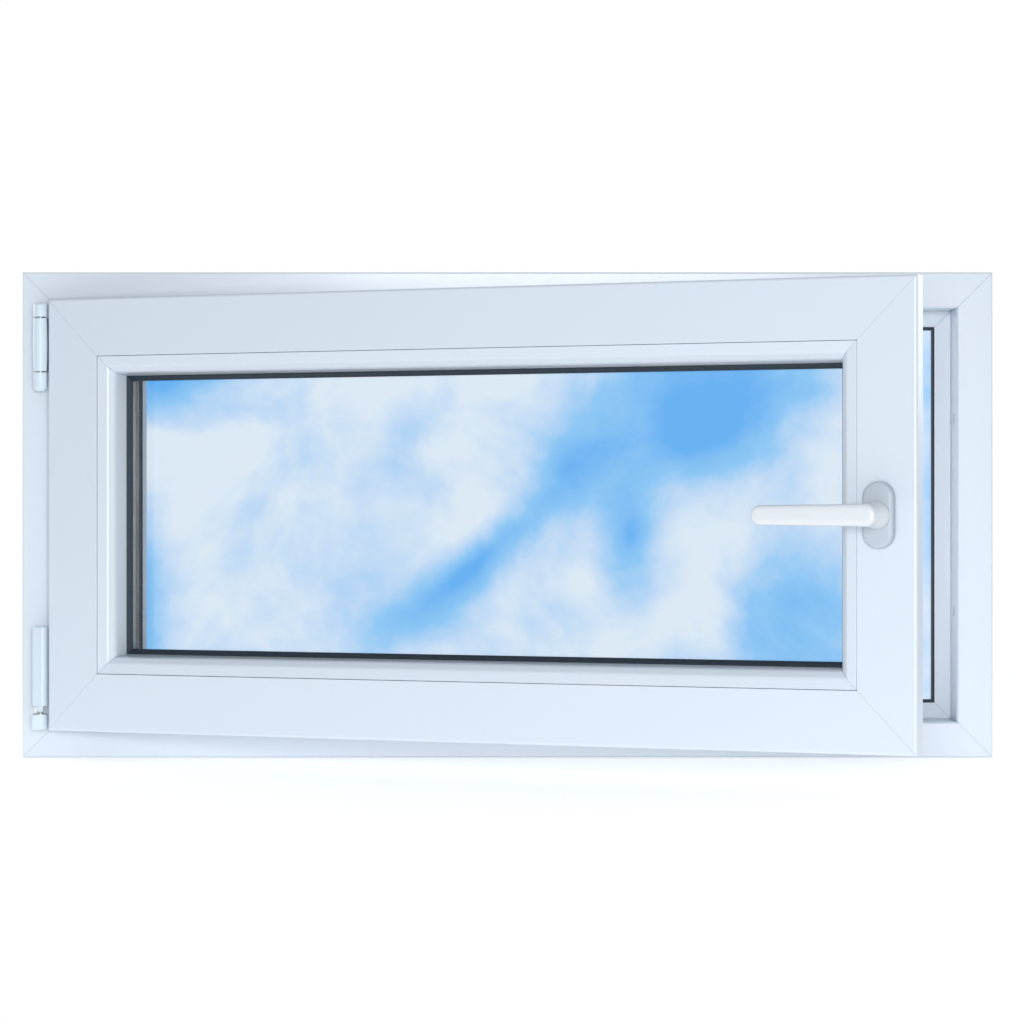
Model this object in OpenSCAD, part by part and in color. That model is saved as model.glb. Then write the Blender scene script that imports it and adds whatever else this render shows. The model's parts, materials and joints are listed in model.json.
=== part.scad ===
// Tilt and turn window: a white PVC frame with one glazed sash, hinged on the left and standing open.
// X runs to the right along the sill, Y from the room to the outside, and Z up.
// The origin is the middle of the frame's underside, half way through the frame's depth.
// The sash and all that it carries are drawn closed, and on_sash() swings them open.

/* [Frame] */
// Width over the outer frame
frame_w = 1000; // [900:10:1600]
// Height over the outer frame
frame_h = 500; // [480:10:1400]
// Depth of the outer frame
frame_depth = 70; // [68:1:84]
// Width of the frame's room face, from its outer edge to its rebate
frame_face = 37; // [36:0.5:44]
// Height of the outside stop above the rebate
stop_height = 20; // [18:0.5:24]
// Distance between the two fixing holes in each jamb
fixing_spacing = 200; // [150:10:300]
// Diameter of the fixing holes
fixing_d = 10.2; // [7.5:0.1:11]

/* [Sash] */
// Angle at which the sash stands open
open_angle = 26; // [0:1:90]
// How far the sash flange laps over the frame
overlap = 8; // [7.6:0.1:8]
// How far the sash face stands in front of the frame face
sash_proud = 19; // [18.6:0.1:19]
// Width of the sash face, from the flange tip to the glazing bead
sash_face = 59; // [58:0.5:66]
// Width of the glazing bead
bead_w = 20; // [19:0.5:24]

/* [Glass] */
// Thickness of each pane
pane_t = 4; // [3:0.5:6]
// Thickness of the whole double glazing unit
unit_t = 24; // [22:0.5:24]

/* [Handle] */
// Distance from the handle's axis to the tip of its grip
grip_reach = 112; // [90:1:125]
// Height of the grip at its tip
grip_tip_h = 18; // [15:0.5:20]
// Height of the grip at its elbow
grip_root_h = 20; // [18:0.5:22]
// How far the grip's front stands in front of the sash face
grip_front = 44; // [42:1:60]
// Thickness of the grip
grip_t = 13; // [10:0.5:14]
// Height of the oval rosette
rosette_h = 62; // [60:1:70]
// Width of the oval rosette
rosette_w = 30; // [30:0.5:32]

/* [Hardware] */
// Distance of the first locking cam from the turn axis
first_cam = 480; // [470:5:520]
// Distance of the second locking cam from the sash's free edge
last_cam = 140; // [125:5:200]
// Distance from the turn axis to the stay's guide pin
stay_reach = 330; // [250:5:360]

/* [Hidden] */
$fn = 48;

pvc = "#dfe7f0";
cover_white = "#e4e9ee";
handle_white = "#eeeeee";
rubber = "#1d2228";
steel = "#a9adb3";
glass_blue = "#bcd9ec80";
spacer_grey = "#b9bcc0";
wall = 2.8;
web = 1.8;
gap = 0.3;
edge_cut = 1;

// Depths are counted from the frame's room face towards the outside.
function y_at(depth) = depth - frame_depth / 2;
function ys(d0, d1) = [y_at(d0), y_at(d1)];
mid_z = frame_h / 2;
stop_front = 54;
flange_back = -3;
sash_front = -sash_proud;
sash_back = 51;

// Sash measures, counted inwards from its flange tip
flange_u = frame_face - overlap;
air_gap = 12;
rebate_s = overlap + air_gap;
sash_w = frame_w - 2 * flange_u;
sash_h = frame_h - 2 * flange_u;
glass_s = sash_face + 5;
lip_s = sash_face + bead_w;
glass_back = 35;
glass_front = glass_back - unit_t;
lip_front = 38;
gasket_sight = 3.5;
mitre_reach = lip_s + 12;

// Hardware groove
groove_mid = 10;
plate_w = 16;
plate_t = 2;
groove_w = 12;
groove_s = rebate_s + 13;
rebate_x = sash_w / 2 - rebate_s;
rebate_low = flange_u + rebate_s;
rebate_high = frame_h - rebate_low;

// Hinges: x and y are counted from the turn axis
axis_d = 20;
axis_to_flange = 8;
turn_x = -frame_w / 2 + flange_u - axis_to_flange;
turn_y = y_at(-axis_d);
barrel_r = 7.5;
knuckle_r = 5;
stay_pin_r = 3;
leaf_t = 2.6;
leaf_y = [axis_d - leaf_t, axis_d];
leaf_x = [-8.5, 0];
crank_y = [axis_d - 2.6, axis_d - 0.4];
stile_face_x = axis_to_flange + rebate_s;
bearing_high = frame_h - 33;
sleeve_high = frame_h - 48;
sleeve_low = frame_h - 103;
bearing_low = frame_h - 123;
arm_z = [frame_h - 41.5, frame_h - 38.5];
arm_y = [axis_d + 3, axis_d + 17];
tilt_z = 36.5;
pot_z = [30.5, 46];
cup_z = [32, 44];
pot_bore_r = 5.6;
cup_r = 5.5;
tilt_pin_r = 1.25;
hinge_pin_r = 2.3;
corner_z = [54, 136];
foot_leaf_top = 104;
foot_leaf_screw_z = [62, 94];
leaf_screw_inset = 12;
leaf_screw_x = -4.4;

// Drive: the pinion's centre sits behind the handle
pinion_setback = 16;
pinion_teeth = 20;
pinion_s = rebate_s + pinion_setback;
pinion_x = sash_w / 2 - pinion_s;
tooth_module = 1.12;
pitch_r = tooth_module * pinion_teeth / 2;
pressure_angle = 20;
tooth_play = 0.15;
pinion_d = [5.5, 14.5];
hub_r = 6.9;
case_d = [3, 17];
case_half = 58;
spindle_side = 7;
travel = pitch_r * PI / 2;
rod_half_w = 5;
rod_t = 3;
cam_r = 5;
cam_reach = 8;
keep_lip = 7.5;
drive_leg = 70;
cam_x = [turn_x + first_cam, sash_w / 2 - last_cam];
rod_x = [cam_x[0] - 20, cam_x[1] + 23];
plate_x = [cam_x[0] - 49, rebate_x - drive_leg - 1];
screw_pitch = 43;
rosette_t = 9;

// ---- Shapes used by several parts ----

// Block between two limits on each axis
module box(x, y, z) {
  translate([x[0], y[0], z[0]])
    cube([x[1] - x[0], y[1] - y[0], z[1] - z[0]]);
}

// Flat outline in X and Z, given thickness between two Y values
module along_y(y) {
  translate([0, y[1], 0])
    rotate([90, 0, 0])
      linear_extrude(y[1] - y[0])
        children();
}

// Round bar along Y
module bar_y(r, y) {
  along_y(y) circle(r);
}

// Round bar along X
module bar_x(r, x) {
  translate([x[0], 0, 0])
    rotate([0, 90, 0])
      cylinder(r = r, h = x[1] - x[0]);
}

// Upright tube between two heights
module upright_tube(r, bore, z) {
  translate([0, 0, z[0]])
    linear_extrude(z[1] - z[0])
      difference() {
        circle(r);
        circle(bore);
      }
}

// Upright round bar between two heights
module upright(r, z) {
  translate([0, 0, z[0]])
    cylinder(r = r, h = z[1] - z[0]);
}

// Lays children, drawn for the bottom side, on a side of a w by h rectangle: 0 bottom, 1 right, 2 top, 3 left
module on_side(side, w, h) {
  translate([0, 0, mid_z])
    rotate([0, -90 * side, 0])
      translate([0, 0, -(side % 2 == 0 ? h : w) / 2])
        children();
}

// Runs a section (Y, distance inwards) along one side, with both ends cut at 45 degrees
module side_run(side, w, h) {
  length = side % 2 == 0 ? w : h;
  on_side(side, w, h)
    intersection() {
      rotate([90, 0, 90])
        linear_extrude(length, center = true)
          children();
      along_y([-frame_depth * 2, frame_depth * 2])
        polygon([
          [-length / 2, 0], [length / 2, 0],
          [length / 2 - mitre_reach, mitre_reach], [mitre_reach - length / 2, mitre_reach]
        ]);
    }
}

// Runs a section round all four sides, as four mitred lengths
module ring(w, h) {
  for (side = [0:3])
    side_run(side, w, h) children();
}

// Rectangle of a section between two depths and two distances inwards
module cell(d, s) {
  translate([y_at(d[0]), s[0]])
    square([d[1] - d[0], s[1] - s[0]]);
}

// Section outline given as depths and distances inwards
module outline(points) {
  polygon([for (p = points) [y_at(p[0]), p[1]]]);
}

// Countersunk screw that points up, with the top of its head at height 0
module screw(head_r, shank_r, length) {
  cylinder(r1 = head_r, r2 = shank_r, h = head_r - shank_r);
  cylinder(r = shank_r, h = length);
}

// Swings what is drawn closed out to the opening angle
module on_sash() {
  translate([turn_x, turn_y, 0])
    rotate([0, 0, -open_angle])
      translate([-turn_x, -turn_y, 0])
        children();
}

// Moves what is drawn about the turn axis to where the axis is on the frame
module at_axis() {
  translate([turn_x, turn_y, 0]) children();
}

// The same, on what turns with the sash
module at_open_axis() {
  translate([turn_x, turn_y, 0])
    rotate([0, 0, -open_angle])
      children();
}

// Middle of the drive pinion, on the closed sash
module at_pinion() {
  translate([pinion_x, 0, mid_z]) children();
}

// ---- Outer frame ----

module frame_section() {
  difference() {
    outline([
      [edge_cut, 0], [frame_depth - edge_cut, 0], [frame_depth, edge_cut],
      [frame_depth, frame_face + stop_height], [stop_front, frame_face + stop_height],
      [stop_front, frame_face], [edge_cut, frame_face], [0, frame_face - edge_cut], [0, edge_cut]
    ]);
    cell([wall, 15], [wall, frame_face - wall]);
    cell([15 + web, 51], [wall, frame_face - wall]);
    cell([51 + web, frame_depth - wall], [wall, frame_face - wall]);
    cell([stop_front + wall, frame_depth - wall], [frame_face - 1, frame_face + stop_height - 7.6]);
    cell([stop_front - 1, stop_front + 2.8], [frame_face + stop_height - 4.6, frame_face + stop_height - 2]);
  }
}

fixing_depth = 27;

// Fixing holes through both jambs
module fixing_holes() {
  for (z = [-0.5, 0.5])
    translate([0, y_at(fixing_depth), mid_z + z * fixing_spacing])
      bar_x(fixing_d / 2, [-frame_w, frame_w]);
}

drain_x = frame_w * 0.3;
drain_z = [10, 15];
drain_half = 14;
hood_half = 21;
hood_z = [6, 19];
hood_t = 4;

module drain_slots() {
  for (x = [-drain_x, drain_x])
    box([x - drain_half, x + drain_half], ys(frame_depth - wall - 1, frame_depth + 1), drain_z);
}

module frame_run(side) {
  color(pvc)
    difference() {
      side_run(side, frame_w, frame_h) frame_section();
      frame_screw_set();
      fixing_holes();
      drain_slots();
    }
}

module frame_sill() frame_run(0);
module frame_right_jamb() frame_run(1);
module frame_head() frame_run(2);
module frame_left_jamb() frame_run(3);

// Straight square-cut tube inside one side of a profile
module steel_tube(side, w, h, d, s, t) {
  length = (side % 2 == 0 ? w : h) - 2 * s[1] - 16;
  on_side(side, w, h)
    rotate([90, 0, 90])
      linear_extrude(length, center = true)
        difference() {
          cell(d, s);
          cell([d[0] + t, d[1] - t], [s[0] + t, s[1] - t]);
        }
}

module frame_steel() {
  color(steel)
    difference() {
      for (side = [0:3])
        steel_tube(side, frame_w, frame_h, [17.2, 50.6], [3.2, frame_face - 3.2], 1.5);
      fixing_holes();
      frame_screw_set();
    }
}

module stop_gasket() {
  tip = frame_face + stop_height;
  color(rubber)
    ring(frame_w, frame_h)
      outline([
        [stop_front, tip - 3], [sash_back + gap, tip - 1.4], [sash_back + gap, tip + 0.3],
        [stop_front + 0.6, tip + 0.3], [stop_front + 0.6, tip], [stop_front, tip],
        [stop_front, tip - 2.2], [stop_front + 2.6, tip - 2.2], [stop_front + 2.6, tip - 4.4],
        [stop_front, tip - 4.4]
      ]);
}

module drain_caps() {
  color(cover_white)
    for (x = [-drain_x, drain_x])
      difference() {
        box([x - hood_half, x + hood_half], ys(frame_depth, frame_depth + hood_t), hood_z);
        box([x - hood_half + 2, x + hood_half - 2], ys(frame_depth - 1, frame_depth + hood_t - 1.5),
          [hood_z[0] - 1, hood_z[1] - 2]);
      }
}

// ---- Top hinge ----

knuckle_web_x = [-6, -1];

module bearing_knuckle(z) {
  difference() {
    union() {
      upright(knuckle_r, z);
      box(knuckle_web_x, [0, leaf_y[0]], z);
    }
    upright(stay_pin_r + 0.03, [z[0] - 1, z[1] + 1]);
  }
}

top_knuckle_z = [sleeve_high + 1, bearing_high - 2];
foot_knuckle_z = [bearing_low + 2, sleeve_low - 1];

module stay_bearing() {
  color(steel)
    difference() {
      at_axis() {
        bearing_knuckle(top_knuckle_z);
        bearing_knuckle(foot_knuckle_z);
        box(leaf_x, leaf_y, [foot_knuckle_z[0], top_knuckle_z[1]]);
      }
      frame_screw_set();
    }
}

// Plastic cap round a knuckle, open towards the leaf
module bearing_cap(z, inside) {
  difference() {
    upright(barrel_r, z);
    upright(knuckle_r + 0.1, inside);
    box([knuckle_web_x[0] - 0.1, knuckle_web_x[1] + 0.1], [0, barrel_r + 1], inside);
  }
}

module stay_bearing_top_cap() {
  color(cover_white)
    at_axis() {
      bearing_cap([top_knuckle_z[0], bearing_high - 1], [top_knuckle_z[0] - 1, top_knuckle_z[1] + 0.1]);
      translate([0, 0, bearing_high - 1])
        cylinder(r1 = barrel_r, r2 = barrel_r - 1, h = 1);
    }
}

module stay_bearing_foot_cap() {
  color(cover_white)
    at_axis() {
      bearing_cap([bearing_low + 1.5, foot_knuckle_z[1]], [foot_knuckle_z[0] - 0.1, foot_knuckle_z[1] + 1]);
      translate([0, 0, bearing_low])
        cylinder(r1 = barrel_r - 1.5, r2 = barrel_r, h = 1.5);
    }
}

module stay_hinge_pin() {
  color(steel)
    at_axis()
      upright(stay_pin_r, [foot_knuckle_z[0] + 0.1, top_knuckle_z[1] - 0.1]);
}

module stay_arm() {
  knuckle_z = [sleeve_low + gap, sleeve_high - gap];
  riser_x = [stile_face_x - 11, stile_face_x - 9];
  color(steel)
    at_open_axis() {
      difference() {
        union() {
          upright(knuckle_r, knuckle_z);
          box([1, 4], [0, crank_y[1]], knuckle_z);
        }
        upright(stay_pin_r + 0.06, [knuckle_z[0] - 1, knuckle_z[1] + 1]);
      }
      box([4, riser_x[1]], crank_y, knuckle_z);
      box(riser_x, [crank_y[1], arm_y[1]], [sleeve_low + gap, sleeve_high - gap]);
      box(riser_x, arm_y, [sleeve_high - gap, arm_z[1]]);
      difference() {
        union() {
          box([riser_x[1], stay_reach], arm_y, arm_z);
          translate([stay_reach, arm_y[0] + 7, 0])
            upright(7, arm_z);
        }
        translate([stay_reach, arm_y[0] + 7, 0])
          upright(stay_pin_r, [arm_z[0] - 1, arm_z[1] + 1]);
      }
    }
}

module stay_sleeve() {
  z = [sleeve_low + gap, sleeve_high - gap];
  color(cover_white)
    at_open_axis()
      difference() {
        upright(barrel_r, z);
        upright(knuckle_r + 0.1, [z[0] - 1, z[1] + 1]);
        box([0.9, 4.1], [0, barrel_r + 1], [z[0] - 1, z[1] + 1]);
      }
}

guide_head_r = 4.5;
guide_head_z = [rebate_high - 7, rebate_high - 4.8];

module stay_guide_pin() {
  color(steel)
    at_open_axis()
      translate([stay_reach, arm_y[0] + 7, 0]) {
        upright(stay_pin_r, [guide_head_z[1], arm_z[1]]);
        upright(guide_head_r, guide_head_z);
      }
}

// ---- Bottom hinge ----

module corner_bearing() {
  color(steel)
    difference() {
      at_axis() {
        difference() {
          union() {
            upright(barrel_r - 0.8, pot_z);
            box(knuckle_web_x, [0, leaf_y[0]], pot_z);
          }
          upright(pot_bore_r, [cup_z[0] - 0.1, pot_z[1] + 1]);
        }
        box(leaf_x, leaf_y, [pot_z[0], foot_leaf_top]);
      }
      frame_screw_set();
    }
}

module corner_bearing_cover() {
  z = [pot_z[0] - 0.5, pot_z[1] - 0.5];
  color(cover_white)
    at_axis()
      difference() {
        union() {
          upright(barrel_r + 0.4, z);
          box([-barrel_r - 1.4, 0], [-barrel_r + 1.5, leaf_y[0]], z);
        }
        upright(barrel_r - 0.7, [pot_z[0], z[1] + 1]);
        box([knuckle_web_x[0] - 0.1, knuckle_web_x[1] + 0.1], [0, leaf_y[1]], [pot_z[0], z[1] + 1]);
      }
}

module swivel_cup() {
  slot = hinge_pin_r + 0.4;
  color(steel)
    at_open_axis()
      difference() {
        upright(cup_r, cup_z);
        box([-slot, slot], [-4.5, 4.5], [cup_z[0] + 1.1, cup_z[1] + 1]);
        translate([0, 0, tilt_z])
          bar_x(tilt_pin_r, [-cup_r - 1, cup_r + 1]);
      }
}

module tilt_pin() {
  color(steel)
    at_open_axis()
      translate([0, 0, tilt_z])
        bar_x(tilt_pin_r, [-5.2, 5.2]);
}

module corner_hinge_pin() {
  color(steel)
    at_open_axis()
      difference() {
        upright(hinge_pin_r, [tilt_z - 2, corner_z[0] + 14]);
        translate([0, 0, tilt_z])
          bar_x(tilt_pin_r + 0.06, [-cup_r, cup_r]);
      }
}

module corner_hinge() {
  z = [corner_z[0] + 2, corner_z[1] - 3];
  plate_x = [stile_face_x - 2.5, stile_face_x - 0.1];
  color(steel)
    difference() {
      at_open_axis() {
        difference() {
          union() {
            upright(4.4, [z[0], z[0] + 16]);
            box([1.5, 4.4], [0, crank_y[1]], z);
          }
          upright(hinge_pin_r, [z[0] - 1, corner_z[0] + 14]);
        }
        box([4.4, plate_x[1]], crank_y, z);
        box(plate_x, [crank_y[1], axis_d + 17], z);
      }
      sash_screw_set();
    }
}

module corner_hinge_cover() {
  inside_z = [corner_z[0] - 1, corner_z[1] - 3];
  color(cover_white)
    at_open_axis()
      difference() {
        translate([-0.3, 0, 0])
          union() {
            box([-4.3, 4.3], [-5.5, 6.5], corner_z);
            box([-7.3, 7.3], [-2.5, 6.5], corner_z);
            for (x = [-4.3, 4.3])
              translate([x, -2.5, 0])
                upright(3, corner_z);
          }
        box([-4.6, 4.5], [-4.5, 7], inside_z);
      }
}

// ---- Locking keeps ----

keep_half = 34;
keep_d = [1, 30];
keep_t = 1.5;
keep_screw_x = 22;
keep_screw_d = 23;

// Keep on the sill: base plate and room-side lips, with the middle of its exit gap at x = 0
module keep(lips) {
  difference() {
    union() {
      box([-keep_half, keep_half], ys(keep_d[0], keep_d[1]), [frame_face, frame_face + keep_t]);
      for (x = lips)
        box(x, ys(keep_d[0], groove_mid - cam_r - 0.6), [frame_face + keep_t, frame_face + keep_lip]);
    }
    keep_screws();
  }
}

module keep_screws() {
  for (x = [-keep_screw_x, keep_screw_x])
    translate([x, y_at(keep_screw_d), frame_face + keep_t])
      mirror([0, 0, 1])
        screw(3.2, 1.9, 16);
}

lip_near = 7.5;
lip_far = travel + 12;

module sill_strikers() {
  color(steel)
    for (x = cam_x)
      translate([x, 0, 0])
        keep([[lip_near, lip_far], [-lip_far, -lip_near]]);
}

module head_strikers() {
  color(steel)
    for (x = cam_x)
      translate([x, 0, frame_h])
        mirror([0, 0, 1])
          keep([[-lip_far, -lip_near]]);
}

module frame_screw_set() {
  for (z = concat([sleeve_low + leaf_screw_inset, sleeve_high - leaf_screw_inset], foot_leaf_screw_z))
    translate([turn_x + leaf_screw_x, y_at(-leaf_t), z])
      rotate([-90, 0, 0])
        screw(3, 1.7, 14);
  for (x = cam_x) {
    translate([x, 0, 0]) keep_screws();
    translate([x, 0, frame_h])
      mirror([0, 0, 1])
        keep_screws();
  }
}

module frame_screws() {
  color(steel) frame_screw_set();
}

// ---- Sash ----

module sash_section() {
  difference() {
    outline([
      [sash_front + edge_cut, 0], [flange_back, 0], [flange_back, rebate_s], [sash_back, rebate_s],
      [sash_back, lip_s - edge_cut], [sash_back - edge_cut, lip_s], [lip_front, lip_s],
      [lip_front, sash_face], [sash_front, sash_face], [sash_front, edge_cut]
    ]);
    cell([sash_front + wall, flange_back - wall], [wall, sash_face - wall]);
    cell([groove_mid - plate_w / 2, groove_mid + plate_w / 2], [rebate_s - 1, rebate_s + plate_t]);
    cell([groove_mid - groove_w / 2, groove_mid + groove_w / 2], [rebate_s + 1, groove_s]);
    cell([2, 18], [groove_s + web, sash_face - 6.5]);
    cell([20, 48], [rebate_s + wall, sash_face - wall]);
    cell([lip_front + wall, sash_back - wall], [sash_face - 1, lip_s - wall]);
    cell([3, 6], [sash_face - 4, sash_face + 1]);
    gasket_slot();
  }
}

gasket_s = [5, 8];

module gasket_slot() {
  cell([flange_back - 2, flange_back + 1], gasket_s);
}

module handle_holes() {
  at_pinion() {
    bar_y(7, ys(sash_front - 1, case_d[0] + 1));
    for (z = [-0.5, 0.5])
      translate([0, 0, z * screw_pitch])
        bar_y(2.6, ys(sash_front - 1, case_d[0] + 1));
    box([-16, 16], ys(case_d[0] - 0.1, case_d[1] + 0.1), [-case_half - 1, case_half + 1]);
  }
}

module sash_run(side) {
  color(pvc)
    on_sash()
      side_run(side, sash_w, sash_h) sash_section();
}

// Rail or stile with the pilot holes of its screws
module drilled_sash_run(side) {
  color(pvc)
    difference() {
      sash_run(side);
      sash_screw_set();
    }
}

module sash_bottom_rail() drilled_sash_run(0);
module sash_top_rail() drilled_sash_run(2);
module sash_hinge_stile() drilled_sash_run(3);

module sash_lock_stile() {
  color(pvc)
    difference() {
      drilled_sash_run(1);
      on_sash() handle_holes();
    }
}

module sash_steel() {
  color(steel)
    on_sash()
      for (side = [0:3])
        steel_tube(side, sash_w, sash_h, [20.2, 47.8], [rebate_s + 3, sash_face - 3], 1.5);
}

// Seal behind the flange, left out where the hinge plates pass through the gap
module overlap_gasket() {
  color(rubber)
    on_sash()
      difference() {
        ring(sash_w, sash_h)
          outline([
            [flange_back - 1.8, gasket_s[0] + 0.1], [flange_back, gasket_s[0] + 0.1],
            [-0.5, gasket_s[0] + 0.6], [-0.5, gasket_s[1] - 0.6],
            [flange_back, gasket_s[1] - 0.1], [flange_back - 1.8, gasket_s[1] - 0.1]
          ]);
        for (z = [corner_z, [sleeve_low, sleeve_high]])
          box([-sash_w / 2, -sash_w / 2 + 20], ys(flange_back, 1), [z[0] - 1, z[1] + 1]);
      }
}

// ---- Glazing ----

bead_nose = 6;

module bead_section() {
  outline(concat(
    [[sash_front, sash_face], [sash_front, sash_face + 3]],
    [for (t = [10:10:80])
      [bead_nose - (bead_nose - sash_front) * cos(t), sash_face + 3 + (bead_w - 3) * sin(t)]],
    [[bead_nose, lip_s], [glass_front - 3, lip_s], [glass_front - 3, sash_face],
     [5.8, sash_face], [5.8, sash_face - 3.6], [3.2, sash_face - 3.6], [3.2, sash_face]]
  ));
}

module bead(side) {
  color(pvc)
    on_sash()
      side_run(side, sash_w, sash_h) bead_section();
}

module bead_bottom() bead(0);
module bead_right() bead(1);
module bead_top() bead(2);
module bead_left() bead(3);

module inner_glazing_gasket() {
  color(rubber)
    on_sash()
      ring(sash_w, sash_h)
        outline([
          [glass_front, lip_s - 6], [glass_front, lip_s + gasket_sight],
          [glass_front - 1.5, lip_s + gasket_sight], [glass_front - 5, lip_s],
          [glass_front - 3, lip_s], [glass_front - 3, lip_s - 6]
        ]);
}

module outer_glazing_gasket() {
  color(rubber)
    on_sash()
      ring(sash_w, sash_h)
        outline([
          [glass_back, lip_s - 6], [lip_front, lip_s - 6], [lip_front, lip_s],
          [lip_front + 2, lip_s], [glass_back + 1.2, lip_s + gasket_sight],
          [glass_back, lip_s + gasket_sight]
        ]);
}

// Sheet that fills the sash opening, set in by a distance from the flange tip
module sheet(d, s) {
  box([s - sash_w / 2, sash_w / 2 - s], ys(d[0], d[1]), [flange_u + s, frame_h - flange_u - s]);
}

module inner_pane() {
  color(glass_blue)
    on_sash()
      sheet([glass_front, glass_front + pane_t], glass_s);
}

module outer_pane() {
  color(glass_blue)
    on_sash()
      sheet([glass_back - pane_t, glass_back], glass_s);
}

cavity_d = [glass_front + pane_t, glass_back - pane_t];
spacer_s = [glass_s + 5.5, glass_s + 12];

module glazing_spacer() {
  color(spacer_grey)
    on_sash()
      ring(sash_w, sash_h)
        difference() {
          cell(cavity_d, spacer_s);
          cell([cavity_d[0] + 0.8, cavity_d[1] - 0.8], [spacer_s[0] + 0.8, spacer_s[1] - 0.8]);
        }
}

module edge_seal() {
  color(rubber)
    on_sash()
      ring(sash_w, sash_h)
        cell(cavity_d, [glass_s, spacer_s[0]]);
}

block_x = sash_w * 0.28;
block_half = 50;

// Packers between the glass edge and the sash: two below, two at the sides, two above
module glazing_blocks() {
  color("#3c5a86")
    on_sash()
      for (side = [0:3])
        on_side(side, sash_w, sash_h)
          for (x = side % 2 == 0 ? [-block_x, block_x] : [0])
            box([x - block_half, x + block_half], ys(glass_front + 1, glass_back - 1), [sash_face, glass_s]);
}

// ---- Sash hardware ----

// Faceplate in the groove along the bottom, from x0 to x1, with slots round its cam positions
module faceplate(x, cams) {
  difference() {
    box(x, ys(groove_mid - plate_w / 2, groove_mid + plate_w / 2), [rebate_low, rebate_low + plate_t]);
    for (cam = cams)
      box([cam - travel - 4, cam + travel + 4], ys(groove_mid - 3.4, groove_mid + 3.4),
        [rebate_low - 1, rebate_low + plate_t + 1]);
  }
}

// The same parts on the top rail
module on_top() {
  translate([0, 0, frame_h])
    mirror([0, 0, 1])
      children();
}

module bottom_faceplate() {
  color(steel)
    difference() {
      on_sash() faceplate([plate_start, plate_x[1]], cam_x);
      sash_screw_set();
    }
}

module top_faceplate() {
  color(steel)
    difference() {
      on_sash() on_top() faceplate(plate_x, cam_x);
      sash_screw_set();
    }
}

module stay_guide() {
  pin_x = turn_x + stay_reach;
  color(steel)
    difference() {
      on_sash()
        on_top()
          difference() {
            box([plate_start, plate_x[0] - 0.5], ys(groove_mid - plate_w / 2, groove_mid + plate_w / 2),
              [rebate_low, rebate_low + plate_t]);
            box([pin_x - 6, pin_x + 7], ys(groove_mid - 4, groove_mid + 4),
              [rebate_low - 1, rebate_low + plate_t + 1]);
          }
      sash_screw_set();
    }
}

gear_plate_z = [rebate_low + drive_leg + 1, rebate_high - drive_leg - 1];

module gear_faceplate() {
  color(steel)
    difference() {
      on_sash()
        box([rebate_x - plate_t, rebate_x], ys(groove_mid - plate_w / 2, groove_mid + plate_w / 2),
          gear_plate_z);
      sash_screw_set();
    }
}

module groove_screw() {
  screw(3, 1.8, 20);
}

plate_start = turn_x + 60;
end_inset = 5;
guide_screw_x = turn_x + stay_reach - 80;
rail_screw_x = [plate_start + 12, guide_screw_x, plate_x[0] + end_inset, plate_x[1] - end_inset];

corner_screw_z = [corner_z[0] + 21, corner_z[0] + 45, corner_z[1] - 13];

module sash_screw_set() {
  on_sash() {
    for (x = rail_screw_x) {
      translate([x, y_at(groove_mid), rebate_low])
        groove_screw();
      translate([x, y_at(groove_mid), rebate_high])
        mirror([0, 0, 1])
          groove_screw();
    }
    for (z = [gear_plate_z[0] + end_inset, gear_plate_z[1] - end_inset])
      translate([rebate_x, y_at(groove_mid), z])
        rotate([0, -90, 0])
          groove_screw();
    for (z = corner_screw_z)
      translate([turn_x + stile_face_x - 2.5, y_at(groove_mid), z])
        rotate([0, 90, 0])
          groove_screw();
  }
}

module sash_screws() {
  color(steel) sash_screw_set();
}

module gearbox_case() {
  color(steel)
    on_sash()
      at_pinion()
        difference() {
          box([-15, 10], ys(case_d[0], case_d[1]), [-case_half, case_half]);
          bar_y(13, ys(case_d[0] + 1.5, case_d[1] - 1.5));
          box([0, 11], ys(case_d[0] + 1.5, case_d[1] - 1.5), [-13, 13]);
          bar_y(hub_r + 0.08, ys(case_d[0] - 1, case_d[1] + 1));
          for (z = [-0.5, 0.5])
            translate([0, 0, z * screw_pitch])
              bar_y(2.5, ys(case_d[0] - 1, case_d[1] + 1));
        }
}

// Corner guide of the bottom right corner: two plate legs and a channelled housing behind them
module corner_drive() {
  inner = [rebate_x, rebate_low];
  housing = [plate_t, 12];
  channel = [4.5, 7];
  translate([inner[0], 0, inner[1]])
    mirror([1, 0, 0]) {
      box([0, drive_leg], ys(groove_mid - plate_w / 2, groove_mid + plate_w / 2), [0, plate_t]);
      box([0, plate_t], ys(groove_mid - plate_w / 2, groove_mid + plate_w / 2), [plate_t, drive_leg]);
      difference() {
        along_y(ys(groove_mid - 5.8, groove_mid + 5.8))
          difference() {
            square(drive_leg - 3);
            translate([housing[1], housing[1]]) square(drive_leg);
            square([drive_leg, housing[0]]);
            square([housing[0], drive_leg]);
          }
        along_y(ys(groove_mid - 5.2, groove_mid + 5.2)) {
          translate([12, channel[0]]) square([drive_leg, channel[1] - channel[0]]);
          translate([channel[0], 12]) square([channel[1] - channel[0], drive_leg]);
          intersection() {
            square(12.01);
            translate([12, 12])
              difference() {
                circle(12 - channel[0]);
                circle(12 - channel[1]);
              }
          }
        }
      }
    }
}

module bottom_corner_drive() {
  color(steel)
    on_sash() corner_drive();
}

module top_corner_drive() {
  color(steel)
    on_sash() on_top() corner_drive();
}

// ---- Handle ----

// Upright oval with round ends
module oval(w, h) {
  for (z = [w / 2 - h / 2, h / 2 - w / 2])
    translate([0, z]) circle(w / 2);
  square([w, h - w], center = true);
}

base_d = [sash_front - 6, sash_front];
cover_d = [sash_front - rosette_t, sash_front];
collar_r = 9;

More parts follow.
